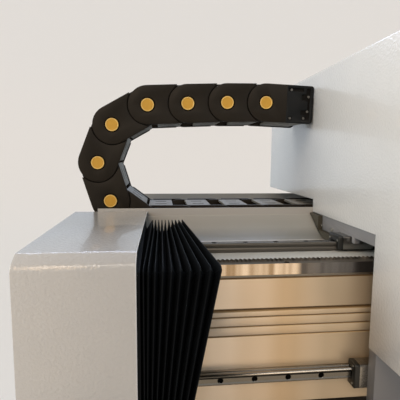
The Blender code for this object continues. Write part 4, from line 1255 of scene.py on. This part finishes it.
    def crossbar(self, name: str, length: float, z: float) -> bpy.types.Object:
        """A crossbar with two slots for separators, in line with the chain.

        Args:
            name: The piece's name.
            length: The link's length.
            z: The bar's underside.

        Returns:
            The bar.
        """
        low, high = self.bar_ends[0], length - self.bar_ends[1]
        x, middle, thick = (low + high) / 2, z + self.bar_thick / 2, self.bar_thick
        half, wide = self.bar_slot[0] / 2, self.bar_slot[1] / 2
        room = 2 * self.layer - MM
        bar = block(name, (low, room, z), (high, self.width - room, z + thick))
        places = [self.width * share for share in self.bar_slot_places]
        for y in places:
            boolean(bar, block("slot", (x - half, y - wide, middle - thick),
                               (x + half, y + wide, middle + thick)))
        paint(ease(bar, self.bar_edge), CROSSBAR_NYLON)
        return paint(bar, HOLE_SHADE, lambda c, n: (abs(c.x - x) < half + MM and abs(c.z - middle) < thick
                                                    and min(abs(c.y - y) for y in places) < wide + MM))

    def link(self, name: str, form: LinkForm) -> bpy.types.Object:
        """One link or bracket.

        Args:
            name: The piece's name.
            form: The form of its inner plates.

        Returns:
            The piece.
        """
        parts = []
        for near in (True, False):
            parts.append(self.plate(name, form, near))
            span = self.span(near, self.layer + self.gap, 2 * self.layer)
            tongue = drawn(name, self.outline(self.tongue, form), Axis.Y, *span)
            parts.append(paint(ease(tongue, self.tongue_edge), NYLON))
        edge = self.tongue - self.bar_inset
        parts += [self.crossbar(name, form.length, z) for z in (-edge, edge - self.bar_thick)]
        half, tall = self.web[0] / 2, self.tongue * self.web_share
        for y in (self.layer - MM, self.width - self.layer - MM):
            web = block(name, (form.length / 2 - half, y, -tall),
                        (form.length / 2 + half, y + self.web[1], tall))
            parts.append(paint(web, NYLON))
        if form.last is not End.SQUARE:
            parts += [self.cap(form.length, True), self.cap(form.length, False)]
        if form.first is End.SQUARE:
            points = [(x * MM, self.slot_depth, z * MM) for x, z in self.screws]
            parts.append(self.screw.place(name, points, Facing.FRONT))
        return merge_pieces(name, parts)

    def set_in_place(self, piece: bpy.types.Object, node: str, pivot: Point, heading: float) -> None:
        """Puts a chain piece in its place and lets it stand for its solid.

        Args:
            piece: The piece.
            node: The solid.
            pivot: The pin that it starts at.
            heading: The way that it runs, in degrees.
        """
        piece.matrix_world = (Matrix.Translation((pivot[0], self.near_y, pivot[1]))
                              @ Matrix.Rotation(-math.radians(heading), 4, "Y"))
        stand_in(settle(piece, node + "_moulding"), node)

    def build(self) -> None:
        """Makes every link and both brackets."""
        x, z = self.start
        tilt = math.radians(self.tilt)
        far = (x + self.bracket * math.cos(tilt), z + self.bracket * math.sin(tilt))
        piece = self.link("bracket_at_carriage", LinkForm(self.bracket, End.SQUARE, End.HOLLOW))
        self.set_in_place(piece, "chain_bracket_upper", far, 180 + self.tilt)
        master = self.link("link", LinkForm(self.pitch, End.ROUND, End.HOLLOW))
        for i, heading in enumerate(self.headings):
            twin = copy_at(master, "copy", Matrix())
            self.set_in_place(twin, f"chain_link_{i + 1:02d}", (x, z), heading)
            turn = math.radians(heading)
            x, z = x + self.pitch * math.cos(turn), z + self.pitch * math.sin(turn)
        bpy.data.objects.remove(master)
        piece = self.link("bracket_in_tray", LinkForm(self.tail, End.ROUND, End.SQUARE))
        self.set_in_place(piece, "chain_bracket_lower", (x, z), 0)


@dataclass(frozen=True)
class ProfileRail:
    """A profile rail with a row of screw holes.

    Attributes:
        node: Its solid.
        along: The axis that it runs along.
        side: The side that its holes look to.
        finish: Its finish.
        flank: The finish of its flanks, if they have their own.
        radius: The holes' radius.
        depth: Their depth.
        edge: How much its edges lose.
        pitch: From hole to hole.
        start: From its end to the first hole.
        spare: The length that the row of holes leaves free.
    """

    node: str
    along: Axis
    side: Facing
    finish: Finish
    flank: Finish | None = None
    radius: float = 4.9 * MM
    depth: float = 8 * MM
    edge: float = 0.35 * MM
    pitch: float = 60 * MM
    start: float = 20 * MM
    spare: float = 20 * MM

    def build(self) -> None:
        """Drills and paints the rail."""
        low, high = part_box(self.node)
        axis = self.along.value
        normal = next(i for i, share in enumerate(self.side.value) if share)
        across = len(Axis) - axis - normal
        sign = self.side.value[normal]
        face = high[normal] if sign > 0 else low[normal]
        centre = [(a + b) / 2 for a, b in zip(low, high)]
        points = []
        for i in range(int((high[axis] - low[axis] - self.spare) / self.pitch) + 1):
            point = list(centre)
            point[axis] = low[axis] + self.start + i * self.pitch
            point[normal] = face
            points.append(point)
        piece = drill(solid_copy(self.node), points, self.radius, self.depth, self.side)
        paint(ease(piece, self.edge, 1), self.finish)
        if self.flank:
            # The flanks can be painted darker than the top, as painted shade.
            paint(piece, self.flank, lambda c, n: c[normal] < face - MM)
        paint(piece, HOLE_SHADE, lambda c, n: abs(c[across] - centre[across]) < self.radius
              and (c[normal] - face) * sign < -INSIDE)
        stand_in(piece, self.node)


@dataclass
class Bed:
    """The welded bed with its slat table, drawers, rails and racks."""

    frame_edge: float = 3 * MM
    clamp: CapScrew = CapScrew(5 * MM, 3 * MM)
    clamp_count: int = 14
    clamp_inset: float = 18 * MM
    clamp_end: float = 150 * MM
    notch_pitch: float = 30 * MM
    notch_depth: float = 14 * MM
    notch_flat: float = 4 * MM
    notch_over: float = 10 * MM
    table_bar: float = 30 * MM
    bar_share: float = 0.75
    drawer_edge: float = 1.5 * MM
    handle_screw: CapScrew = CapScrew(4 * MM, 2.5 * MM, ZINC)
    handle_depth: float = 45 * MM
    handle_half: Point = (240 * MM, 22 * MM)
    module: float = 2.5 * MM
    addendum_share: float = 0.9
    dedendum_share: float = 1.25
    backlash: float = 0.6 * MM
    pressure_angle: float = math.radians(20)
    rack_edge: float = 0.5 * MM
    pinion_y: float = -1.68

    def frame(self) -> None:
        """The bed's weldment, with clamp screws beside the rails."""
        low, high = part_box("bed_frame")
        points = [(side * (high[0] - self.clamp_inset), y, high[2]) for side in (-1, 1)
                  for y in evenly(self.clamp_count, low[1] + self.clamp_end, high[1] - self.clamp_end)]
        dress("bed_frame", GREY_ENAMEL, self.frame_edge, self.clamp.place("bed_screws", points, Facing.UP))

    def table(self) -> None:
        """The slat table, its slats notched into points."""
        low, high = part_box("slat_table")
        piece = solid_copy("slat_table")
        pitch, flat, top = self.notch_pitch, self.notch_flat / 2, high[2]
        count = int((high[0] - low[0] - 2 * self.table_bar) / pitch)
        half = count * pitch / 2
        outline = [(-half, top + self.notch_over)]
        for i in range(count):
            x = -half + i * pitch
            outline += [(x + flat, top), (x + pitch / 2, top - self.notch_depth), (x + pitch - flat, top)]
        outline.append((half, top + self.notch_over))
        room = self.table_bar * self.bar_share
        boolean(piece, drawn("notches", outline, Axis.Y, low[1] + room, high[1] - room))
        stand_in(paint(smooth(piece), SLAT_STEEL), "slat_table")

    def drawer(self, node: str, side: Facing) -> None:
        """A scrap drawer with the screws of its handle.

        Args:
            node: Its solid.
            side: The side that its handle is on.
        """
        low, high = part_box(node)
        y = low[1] + self.handle_depth if side is Facing.FRONT else high[1] - self.handle_depth
        (wide, tall), middle = self.handle_half, (low[2] + high[2]) / 2
        points = [(x, y, middle + z) for x in (-wide, wide) for z in (-tall, tall)]
        dress(node, DRAWER_ENAMEL, self.drawer_edge, self.handle_screw.place(node + "_screws", points, side))

    def racks(self) -> None:
        """The two racks: a bar, and teeth that one tooth is copied into."""
        pitch = math.pi * self.module
        slope = math.tan(self.pressure_angle)
        add, root = self.module * self.addendum_share, self.module * self.dedendum_share
        middle = (pitch / 2 - self.backlash) / 2
        tip_half, root_half = middle - add * slope, middle + root * slope
        for word, side in SIDES:
            node = f"bed_rack_{word}"
            low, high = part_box(node)
            face = high[0] if side > 0 else low[0]
            tip = face + side * (add + root)
            count = int((high[1] - low[1]) / pitch) - 2
            first = self.pinion_y + (math.ceil((low[1] - self.pinion_y) / pitch) + 0.5) * pitch
            tooth = [(face, first - root_half), (tip, first - tip_half), (tip, first + tip_half),
                     (face, first + root_half)]
            teeth = drawn(node + "_teeth", tooth, Axis.Z, low[2], high[2])
            finish_with(teeth, "ARRAY", count=count, use_relative_offset=False, use_constant_offset=True,
                        constant_offset_displace=(0, pitch, 0))
            dress(node, TOOTH_STEEL, self.rack_edge, paint(teeth, TOOTH_STEEL))

    def build(self) -> None:
        """Makes the bed and what lies on it."""
        self.frame()
        self.table()
        self.drawer("scrap_drawer_front", Facing.FRONT)
        self.drawer("scrap_drawer_rear", Facing.BACK)
        for word, _ in SIDES:
            ProfileRail(f"bed_rail_{word}", Axis.Y, Facing.UP, RAIL_ALONG_BED, radius=5.4 * MM, depth=9 * MM,
                        edge=0.4 * MM, spare=40 * MM).build()
        self.racks()


@dataclass
class Motor:
    """A servo motor on its gearbox, with two plugs and flange screws.

    Attributes:
        node: Its solid.
        side: The side that its plugs look to.
        gearbox_share: The gearbox's share of the height.
        band: How far the bare flange reaches below and above the gearbox's top.
        edge: How much its edges lose.
        screw: A flange screw.
        screw_inset: How far the screws stand inside the housing.
        wall_share: The motor wall's share of the housing's half width.
        plugs: Each plug's height over the gearbox, as a share, and its half width.
        plug_sink: The share of a plug that is inside the wall.
        plug_height: A plug's height as a share of its width.
        plug_edge: How much a plug's edges lose.
    """

    node: str
    side: Facing
    gearbox_share: float = 0.30
    band: Point = (12 * MM, 10 * MM)
    edge: float = 2 * MM
    screw: CapScrew = CapScrew(2.6 * MM, 2.2 * MM, ZINC)
    screw_inset: float = 3.4 * MM
    wall_share: float = 0.88
    plugs: tuple[Point, ...] = ((0.42, 13 * MM), (0.66, 10 * MM))
    plug_sink: float = 0.35
    plug_height: float = 0.8
    plug_edge: float = 2.2 * MM

    def build(self) -> None:
        """Dresses the motor."""
        low, high = corners(self.node)
        middle = (low + high) / 2
        half = (high.x - low.x) / 2
        flange = low.z + (high.z - low.z) * self.gearbox_share
        reach = half - self.screw_inset
        points = [(middle.x + i * reach, middle.y + j * reach, flange) for i in (-1, 1) for j in (-1, 1)]
        screws = self.screw.place(self.node + "_screws", points, Facing.UP)
        piece = ease(solid_copy(self.node), self.edge)
        under, over = self.band
        score(piece, Axis.Z, flange - under, flange + over)
        paint(piece, MOTOR_ENAMEL)
        paint(piece, MACHINED_ALUMINIUM, lambda c, n: flange - under < c.z < flange + 0.1 * MM)
        out = Vector(self.side.value)
        plugs = []
        for along, size in self.plugs:
            centre = Vector((middle.x, middle.y, flange + (high.z - flange) * along))
            centre += out * (half * self.wall_share - size * self.plug_sink)
            reach = Vector((size, size, size * self.plug_height))
            plug = block("plug", centre - reach, centre + reach)
            plugs.append(paint(ease(plug, self.plug_edge, 3), MOTOR_ENAMEL))
        stand_in(merge_pieces(self.node + "_body", [piece, screws, *plugs]), self.node)


@dataclass
class GuideBlock:
    """A guide block: steel body, plastic end caps, and two screws in each cap.

    Attributes:
        node: Its solid.
        along: The axis that it runs along.
        side: The side that its mounting face looks to.
        cap: The length of an end cap.
        edge: How much its edges lose.
        screw: A screw of the caps.
        screw_inset: How far the screws stand inside the block's sides.
        screw_lift: How far they stand towards the mounting face.
        screw_sink: How far their seats lie inside the cap.
    """

    node: str
    along: Axis
    side: Facing
    cap: float = 9 * MM
    edge: float = 0.8 * MM
    screw: CapScrew = CapScrew(2.2 * MM, 1.6 * MM, ZINC)
    screw_inset: float = 6 * MM
    screw_lift: float = 4 * MM
    screw_sink: float = 0.4 * MM

    def build(self) -> None:
        """Dresses the block."""
        low, high = corners(self.node)
        axis = self.along.value
        start, end = low[axis], high[axis]
        piece = solid_copy(self.node)
        score(piece, self.along, start + self.cap, end - self.cap)
        paint(piece, GROUND_STEEL)
        paint(piece, END_CAP, lambda c, n: c[axis] < start + self.cap or c[axis] > end - self.cap)
        ease(piece, self.edge)
        out, step = Vector(self.side.value), self.along.place(0, 0, 1)
        middle = (low + high) / 2 + out * self.screw_lift
        across = Vector((1, 1, 1)) - step - Vector([abs(v) for v in out])
        across *= abs((high - low).dot(across)) / 2 - self.screw_inset
        looks = {Axis.X: (Facing.LEFT, Facing.RIGHT), Axis.Y: (Facing.FRONT, Facing.BACK),
                 Axis.Z: (Facing.DOWN, Facing.UP)}[self.along]
        ends = []
        for face, look in zip((start + self.screw_sink, end - self.screw_sink), looks):
            seat = middle + step * (face - middle[axis])
            ends.append(self.screw.place(self.node + "_screws", [seat - across, seat + across], look))
        stand_in(merge_pieces(self.node + "_body", [piece, *ends]), self.node)


@dataclass
class Beam:
    """The gantry beam, its rails, rack, end plates and drive."""

    lip: Point = (1.1538, 1.1750)
    front_y: float = -1.610
    beam_edge: float = 0.35 * MM
    groove_depth: float = 7 * MM
    lip_depth: float = 3 * MM
    seat_y: Point = (-1.6083, -1.5970)
    seat_room: Point = (1.0 * MM, 1.3 * MM)
    tooth_depth: float = 5.6 * MM
    tooth_show: float = 3.9 * MM
    tooth_room: float = 0.05 * MM
    plate_edge: float = 0.8 * MM
    plate_screw: CapScrew = CapScrew(5 * MM, 4 * MM)
    plate_screws: int = 3
    plate_inset: Point = (20 * MM, 12 * MM)
    pinion_edge: float = 0.25 * MM

    def profile(self) -> None:
        """The beam: brushed face, polished strip, painted reflections, lip and grooves in painted shade."""
        under, over = self.lip
        front = self.front_y + MM
        seat_low, seat_high = self.seat_y
        seat_under, seat_over = under + self.seat_room[0], over - self.seat_room[1]
        rack_back, rail_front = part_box("beam_rack")[1][1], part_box("beam_rail_top")[0][1]
        piece = ease(solid_copy("gantry_beam"), self.beam_edge, 1)
        score(piece, Axis.Y, rack_back, rail_front)
        paint(piece, RAW_ALUMINIUM)
        # The brushed face and the polished strip carry painted reflections.
        paint(piece, BRUSHED_ALUMINIUM, lambda c, n: n.y < -LOOKS and c.y < front and c.z < under)
        paint(piece, POLISHED_ALUMINIUM, lambda c, n: n.y < -LOOKS and c.y < front and under < c.z < over)
        # The top faces by the lip are painted darker as painted shade.
        paint(piece, LIP_PAINTED_SHADE, lambda c, n: n.z > LOOKS and c.z > over - self.lip_depth)
        # The beam's top strip between the rack and the rail is painted pale as painted light.
        paint(piece, RACK_TOP_PAINTED_LIGHT, lambda c, n: n.z > LEVEL and c.z > over and rack_back < c.y < rail_front)
        paint(piece, HOLE_SHADE, lambda c, n: seat_low < c.y < seat_high and seat_under < c.z < seat_over)
        # The grooves' faces are painted darker as painted shade.
        paint(piece, GROOVE_PAINTED_SHADE,
              lambda c, n: abs(n.z) > LOOKS and c.y < self.front_y + self.groove_depth and c.z < under)
        stand_in(piece, "gantry_beam")

    def rack(self) -> None:
        """The rack: dark teeth, a top painted pale as painted light, a seat painted dark as painted shade."""
        low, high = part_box("beam_rack")
        bar = paint(solid_copy("beam_rack"), TOOTH_STEEL)
        # The rack's top is painted pale as painted light.
        paint(bar, RACK_TOP_PAINTED_LIGHT, lambda c, n: n.z > LEVEL and c.z > high[2] - MM)
        # The strip between the rack's teeth is painted dark as painted shade.
        seat = block("seat", (low[0], low[1] + self.tooth_room, low[2] + MM),
                     (high[0], low[1] + self.tooth_depth, high[2] - self.tooth_show))
        stand_in(merge_pieces("beam_rack_bar", [smooth(bar), paint(seat, LIP_PAINTED_SHADE)]), "beam_rack")

    def build(self) -> None:
        """Makes the beam with what is fixed to it."""
        self.profile()
        ProfileRail("beam_rail_top", Axis.X, Facing.UP, RAIL_ALONG_BEAM, RAIL_FLANK_PAINTED_SHADE).build()
        ProfileRail("beam_rail_front", Axis.X, Facing.FRONT, RAIL_ALONG_BEAM).build()
        self.rack()
        room, depth = self.plate_inset
        for word, side in (("left", Facing.LEFT), ("right", Facing.RIGHT)):
            low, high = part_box(f"end_plate_{word}")
            points = [(x, low[1] + depth, high[2])
                      for x in evenly(self.plate_screws, low[0] + room, high[0] - room)]
            dress(f"end_plate_{word}", MACHINED_ALUMINIUM, self.plate_edge,
                  self.plate_screw.place("plate_screws", points, Facing.UP))
            for place in ("front", "rear"):
                GuideBlock(f"bed_block_{word}_{place}", Axis.Y, Facing.UP).build()
            Motor(f"bed_motor_{word}", side).build()
            dress(f"bed_pinion_{word}", TOOTH_STEEL, self.pinion_edge)


@dataclass
class Covers:
    """The sheet-metal covers at the beam's ends and the chain's tray."""

    inner_x: float = 1.0637
    front_y: float = -1.760
    back_y: float = -1.3765
    top: float = 1.2329
    taper: float = 4 * MM
    upper_bend: float = 3.5 * MM
    lower_bend: float = 7 * MM
    bend_drop: float = 13 * MM
    bend_room: Point = (28 * MM, 20 * MM)
    bend_steps: int = 5
    edge: float = 1.2 * MM
    highlight_width: float = 7 * MM
    highlight_drop: float = 0.4
    tray_edge: float = 0.5 * MM
    tray_rim: float = 18 * MM

    def end_cover(self, word: str, side: int) -> None:
        """A folded cover with two soft bends over its front.

        Args:
            word: left or right.
            side: Its side of X.
        """
        node = f"end_cover_{word}"
        piece = solid_copy(node)
        parting = self.top - self.bend_drop / 2
        for radius, low, high in ((self.lower_bend, self.top - self.bend_room[1], parting),
                                  (self.upper_bend, parting, self.top + MM)):
            round_edges(piece, lambda m, d: abs(d.x) > ALONG and m.y < self.front_y + self.bend_room[0]
                        and low < m.z < high and abs(m.x) > self.inner_x, radius, self.bend_steps)
        for vertex in piece.data.vertices:
            if abs(vertex.co.x) < self.inner_x + MM:
                share = (vertex.co.y - self.front_y) / (self.back_y - self.front_y)
                vertex.co.x += side * self.taper * (1 - share)
        paint(ease(piece, self.edge), WHITE_ENAMEL)
        # The inner edge is painted pale as a painted highlight.
        paint(piece, EDGE_PAINTED_HIGHLIGHT, lambda c, n: abs(abs(c.x) - self.inner_x) < self.highlight_width
              and max(map(abs, n)) < SQUARE and c.z > self.top - self.highlight_drop)
        stand_in(piece, node)

    def build(self) -> None:
        """Makes the covers and the tray."""
        for word, side in SIDES:
            self.end_cover(word, side)
        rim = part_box("chain_tray")[1][2] - self.tray_rim
        tray = paint(ease(solid_copy("chain_tray"), self.tray_edge), TRAY_ENAMEL)
        # The slanted face is painted darker as painted shade, most at its foot.
        paint(tray, SLANT_PAINTED_SHADE, lambda c, n: n.y < -SLANTS and n.z > SLANTS and c.z < rim)
        stand_in(tray, "chain_tray")


@dataclass
class Bellows:
    """Pleated cloth that bunches up against an end cover, its free end fanned out.

    Attributes:
        word: left or right.
        side: Its side of X.
        edge: The cover's inner side.
        front: The folds' front.
        back: Their back.
        top: Their top at the back.
        drop: How far below it they end.
        bend_run: How far behind the front the top starts to turn down.
        bend_drop: How far the top has come down at the front.
        bend_share: The share of that fall that the long slope takes.
        fold: The depth of a fold.
        pleats: The number of ridges.
        ridge: Half the width of a ridge or a fold's foot.
        ridge_drop: How far the ridges lie under the outline.
        bulge: How far a pleat's face bulges sideways.
        ripple: The bulge's waves along the fold: their count, their shift and their share.
        thickness: The cloth's thickness.
        spans: From the cover to the first and the last ridge, at the back, the front and the foot.
        fans: How the ridges' distances grow there; 1 for evenly.
        tucked: Distance from the cover and depth of the rows that lie under the cover and beside it.
        rising: Where a pleat's rows lie on its way down, as shares.
        falling: The same on its way up.
        steps: The number of points on the slope, the bend and the face.
        allowance: The flat cloth's size over the folded strip's, for its hems; not used.
    """

    word: str
    side: int
    edge: float = 1.0637
    front: float = -1.760
    back: float = -1.488
    top: float = 1.2319
    drop: float = 0.285
    bend_run: float = 0.007
    bend_drop: float = 0.020
    bend_share: float = 0.85
    fold: float = 0.022
    pleats: int = 10
    ridge: float = 0.55 * MM
    ridge_drop: float = 0.2 * MM
    bulge: float = 1.4 * MM
    ripple: tuple[float, float, float] = (3, 90, 0.35)
    thickness: float = 1.1 * MM
    spans: tuple[Point, ...] = ((0.013, 0.071), (0.005, 0.106), (0.005, 0.055))
    fans: tuple[float, ...] = (1.05, 1.27, 1.27)
    tucked: tuple[Point, ...] = ((-6 * MM, 2.9 * MM), (0.4 * MM, 2.9 * MM), (1.6 * MM, 17.6 * MM))
    rising: Point = (0.35, 0.7)
    falling: Point = (0.3, 0.65)
    steps: tuple[int, ...] = (9, 3, 12)
    allowance: float = 1.06

    def across(self, step: float) -> list[float]:
        """How far a fold stands from the cover at the back, the front and the foot."""
        share = max(step, 0) / (self.pleats - 1)
        return [low + (high - low) * share ** fan for (low, high), fan in zip(self.spans, self.fans)]

    def row(self, x: Sequence[float], depth: float, lean: float) -> list[Vector]:
        """The points of one fold line, from the back over the front edge to the foot.

        Args:
            x: Its distances from the cover at the back, the front and the foot.
            depth: How far it lies inside the ridges.
            lean: How far its face bulges sideways.

        Returns:
            The points.
        """
        slope_end = self.top - self.bend_drop * self.bend_share - depth
        bend_end = self.top - self.bend_drop - MM - depth / 2
        marks = [Vector((x[0], self.back, self.top - depth)),
                 Vector((x[1], self.front + self.bend_run + depth / 2, slope_end)),
                 Vector((x[1], self.front + depth, bend_end)),
                 Vector((x[2], self.front + depth, self.top - self.drop))]
        points = []
        for first, last, steps in zip(marks, marks[1:], self.steps):
            points += [first.lerp(last, i / steps) for i in range(steps)]
        points.append(marks[-1])
        count = len(points) - 1
        waves, shift, share = self.ripple
        for i, point in enumerate(points):
            way = i / count * math.pi
            wave = math.sin(way * waves + x[1] * shift) * share + math.sin(way)
            point.x = self.side * (self.edge - point.x - lean * wave)
        return points

    def pair(self, x: Sequence[float], depth: float) -> list[list[Vector]]:
        """The two fold lines of a ridge or of a fold's foot."""
        return [self.row([v + sign * self.ridge for v in x], depth, 0) for sign in (-1, 1)]

    def between(self, x: Sequence[float], y: Sequence[float], share: float, deep: float,
                lean: float) -> list[Vector]:
        """A fold line on a pleat's face.

        Args:
            x: The distances of the line that the face starts at.
            y: The distances of the line that it ends at.
            share: The line's place between them.
            deep: Its depth as a share of the fold's.
            lean: The side that the face bulges to.

        Returns:
            The points.
        """
        places = [a + (b - a) * share for a, b in zip(x, y)]
        return self.row(places, self.fold * deep, lean * self.bulge * math.sin(math.pi * share))

    def rows(self) -> list[list[Vector]]:
        """Every fold line, from under the cover to the free end."""
        rows = [self.row([x] * len(self.spans), depth, 0) for x, depth in self.tucked]
        for i in range(self.pleats - 1):
            x, middle, after = self.across(i), self.across(i + 0.5), self.across(i + 1)
            rows += self.pair(x, self.ridge_drop)
            rows += [self.between(x, middle, share, share, 1) for share in self.rising]
            rows += self.pair(middle, self.fold)
            rows += [self.between(middle, after, share, 1 - share, -1) for share in self.falling]
        return rows + self.pair(self.across(self.pleats - 1), self.ridge_drop)

    def build(self) -> None:
        rows = self.rows()
        columns = len(rows[0])
        clear_selection()
        bpy.ops.mesh.primitive_grid_add(x_subdivisions=columns - 1, y_subdivisions=len(rows) - 1, size=1)
        piece = settle(bpy.context.object, f"bellows_{self.word}_cloth")
        for vertex, point in zip(piece.data.vertices, (point for row in rows for point in row)):
            vertex.co = point
        edit_all(piece)
        turn_outwards()
        bpy.ops.object.mode_set(mode="OBJECT")
        out = sum((face.normal.z for face in piece.data.polygons if face.center.z > self.top - 3 * MM), 0.0)
        finish_with(piece, "SOLIDIFY", thickness=self.thickness, offset=-1.0 if out > 0 else 1.0)
        paint(smooth(piece), COATED_CLOTH)
        stand_in(piece, f"bellows_{self.word}")


@dataclass
class CuttingHead:
    """The slide plate, the cutting head with its window, knob and fibre socket, and the nozzle."""

    head_edge: float = 1.5 * MM
    window_half: float = 22 * MM
    window_z: Point = (50 * MM, 78 * MM)
    window_y: Point = (3 * MM, 4 * MM)
    knob: tuple[Point, ...] = ((0, 0), (7 * MM, 0), (7 * MM, 3 * MM), (6 * MM, 5 * MM), (0, 5 * MM))
    knob_z: float = 64 * MM
    knob_sides: int = 20
    screw: CapScrew = CapScrew(2.6 * MM, 1.8 * MM)
    screw_half: float = 17 * MM
    screw_z: tuple[float, float, float] = (15 * MM, 20 * MM, 150 * MM)
    socket: tuple[Point, ...] = ((0, 0), (15 * MM, 0), (15 * MM, 8 * MM), (11 * MM, 10 * MM),
                                 (11 * MM, 24 * MM), (0, 24 * MM))
    socket_sink: float = 0.1 * MM
    socket_sides: int = 28
    nozzle_edge: float = 0.4 * MM
    plate_edge: float = 0.8 * MM
    plate_screw: CapScrew = CapScrew(3 * MM, 2.2 * MM)
    plate_inset: float = 12 * MM
    plate_rows: int = 4

    def body(self) -> None:
        """The head with its window, knob, screws and fibre socket."""
        low, high = corners("cutting_head")
        middle, front = (low + high) / 2, low.y
        window = block("window",
                       (middle.x - self.window_half, front - self.window_y[0], low.z + self.window_z[0]),
                       (middle.x + self.window_half, front + self.window_y[1], low.z + self.window_z[1]))
        knob = turned("knob", self.knob, Vector(), Axis.Z, self.knob_sides)
        knob.matrix_world = (Matrix.Translation((middle.x, front - self.window_y[0], low.z + self.knob_z))
                             @ Facing.FRONT.turn())
        knob = settle(knob, "knob")
        lowest, top, upper = self.screw_z
        points = [(middle.x + i * self.screw_half, front, z) for i in (-1, 1)
                  for z in (low.z + lowest, high.z - top, low.z + upper)]
        screws = self.screw.place("head_screws", points, Facing.FRONT)
        seat = Vector((middle.x, middle.y, high.z - self.socket_sink))
        socket = turned("fibre_socket", self.socket, seat, Axis.Z, self.socket_sides)
        dress("cutting_head", HEAD_ENAMEL, self.head_edge,
              paint(ease(window, self.head_edge), MACHINED_ALUMINIUM), paint(knob, BLACK_OXIDE), screws,
              paint(socket, MACHINED_ALUMINIUM))

    def build(self) -> None:
        """Makes the head, the nozzle and the slide plate."""
        self.body()
        dress("nozzle", BRASS, self.nozzle_edge)
        low, high = corners("head_plate")
        room = self.plate_inset
        points = [(x, low.y, z) for x in (low.x + room, high.x - room)
                  for z in evenly(self.plate_rows, low.z + room, high.z - room)]
        dress("head_plate", MACHINED_ALUMINIUM, self.plate_edge,
              self.plate_screw.place("head_plate_screws", points, Facing.FRONT))


@dataclass
class Carriage:
    """The carriage: saddle with a skirt in painted shadow by its cheek, guide blocks, drive and cover."""

    cheek_x: float = -0.6755
    skirt_x: Point = (-0.6860, -0.6757)
    skirt: tuple[Point, ...] = ((-1.3790, 1.2270), (-1.4270, 1.2270), (-1.4270, 1.1950), (-1.5080, 1.1950),
                                (-1.5080, 1.1812), (-1.4535, 1.1812), (-1.3790, 1.2245))
    skirt_edge: float = 0.3 * MM
    saddle_edge: float = 0.9 * MM
    top_screw: CapScrew = CapScrew(4 * MM, 3 * MM)
    top_insets: Point = (18 * MM, 50 * MM)
    top_y: Point = (-1.55, -1.518)
    side_screw: CapScrew = CapScrew(3.6 * MM, 2.4 * MM, ZINC)
    side_screws: tuple[Point, ...] = ((-1.424, 1.2045), (-1.476, 1.2045))
    cover_edge: float = 1.1 * MM
    rail_edge: float = 0.3 * MM
    pinion_edge: float = 0.25 * MM
    spindle_edge: float = 0.5 * MM

    def saddle(self) -> None:
        """The saddle with its screws and the skirt, painted dark as a painted shadow."""
        low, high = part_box("saddle")
        outer, inner = self.top_insets
        points = [(x, y, high[2]) for x in (low[0] + outer, low[0] + inner, high[0] - inner, high[0] - outer)
                  for y in self.top_y]
        top = self.top_screw.place("saddle_top_screws", points, Facing.UP)
        points = [(self.cheek_x, y, z) for y, z in self.side_screws]
        sides = self.side_screw.place("saddle_side_screws", points, Facing.LEFT)
        # The skirt is a thin sheet painted dark as a painted shadow where the cover throws its shade.
        skirt = ease(drawn("skirt", self.skirt, Axis.X, *self.skirt_x), self.skirt_edge, 1)
        dress("saddle", SADDLE_ENAMEL, self.saddle_edge, top, sides, paint(skirt, SKIRT_PAINTED_SHADOW))

    def build(self) -> None:
        """Makes the carriage and the head."""
        self.saddle()
        # The carriage cover is the white enamel painted paler as painted light.
        dress("carriage_cover", PANEL_ENAMEL_PAINTED_LIGHT, self.cover_edge)
        CuttingHead().build()
        for word, _ in SIDES:
            GuideBlock(f"beam_block_top_{word}", Axis.X, Facing.UP).build()
            GuideBlock(f"beam_block_front_{word}", Axis.X, Facing.FRONT).build()
            dress(f"head_rail_{word}", RAIL_UPRIGHT, self.rail_edge)
        Motor("beam_motor", Facing.LEFT).build()
        Motor("head_motor", Facing.RIGHT).build()
        dress("beam_pinion", TOOTH_STEEL, self.pinion_edge)
        dress("head_screw", GROUND_STEEL, self.spindle_edge)


@dataclass
class PackedSolids:
    """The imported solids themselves, which a finish by their slot also reaches where a piece hides them."""

    finishes: tuple[tuple[str, Finish], ...] = (
        ("white_enamel", WHITE_ENAMEL), ("grey_enamel", GREY_ENAMEL), ("drawer_enamel", DRAWER_ENAMEL),
        ("ground_steel", GROUND_STEEL), ("slat_steel", SLAT_STEEL),
        ("machined_aluminium", MACHINED_ALUMINIUM),
        ("block_steel", BLACK_OXIDE), ("motor_black", MOTOR_ENAMEL), ("chain_plastic", NYLON),
        ("bellows_cloth", COATED_CLOTH))

    def build(self) -> None:
        """Paints every solid by its slot."""
        by_slot = dict(self.finishes)
        for row in RECORD["subparts"]:
            paint(NODES[row["node"]], by_slot[row["material_slot"]])


def main() -> None:
    """Builds the classes in order."""
    logging.basicConfig(level=logging.INFO, format="%(name)s: %(message)s")
    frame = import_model()
    NODES.update(frame["nodes"])
    RECORD.update(frame["record"])
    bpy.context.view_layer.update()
    bellows = [Bellows(word, side) for word, side in SIDES]
    for part in (Studio(), PackedSolids(), Bed(), Beam(), Covers(), *bellows, Carriage(), DragChain()):
        part.build()


if __name__ == "__main__":
    main()
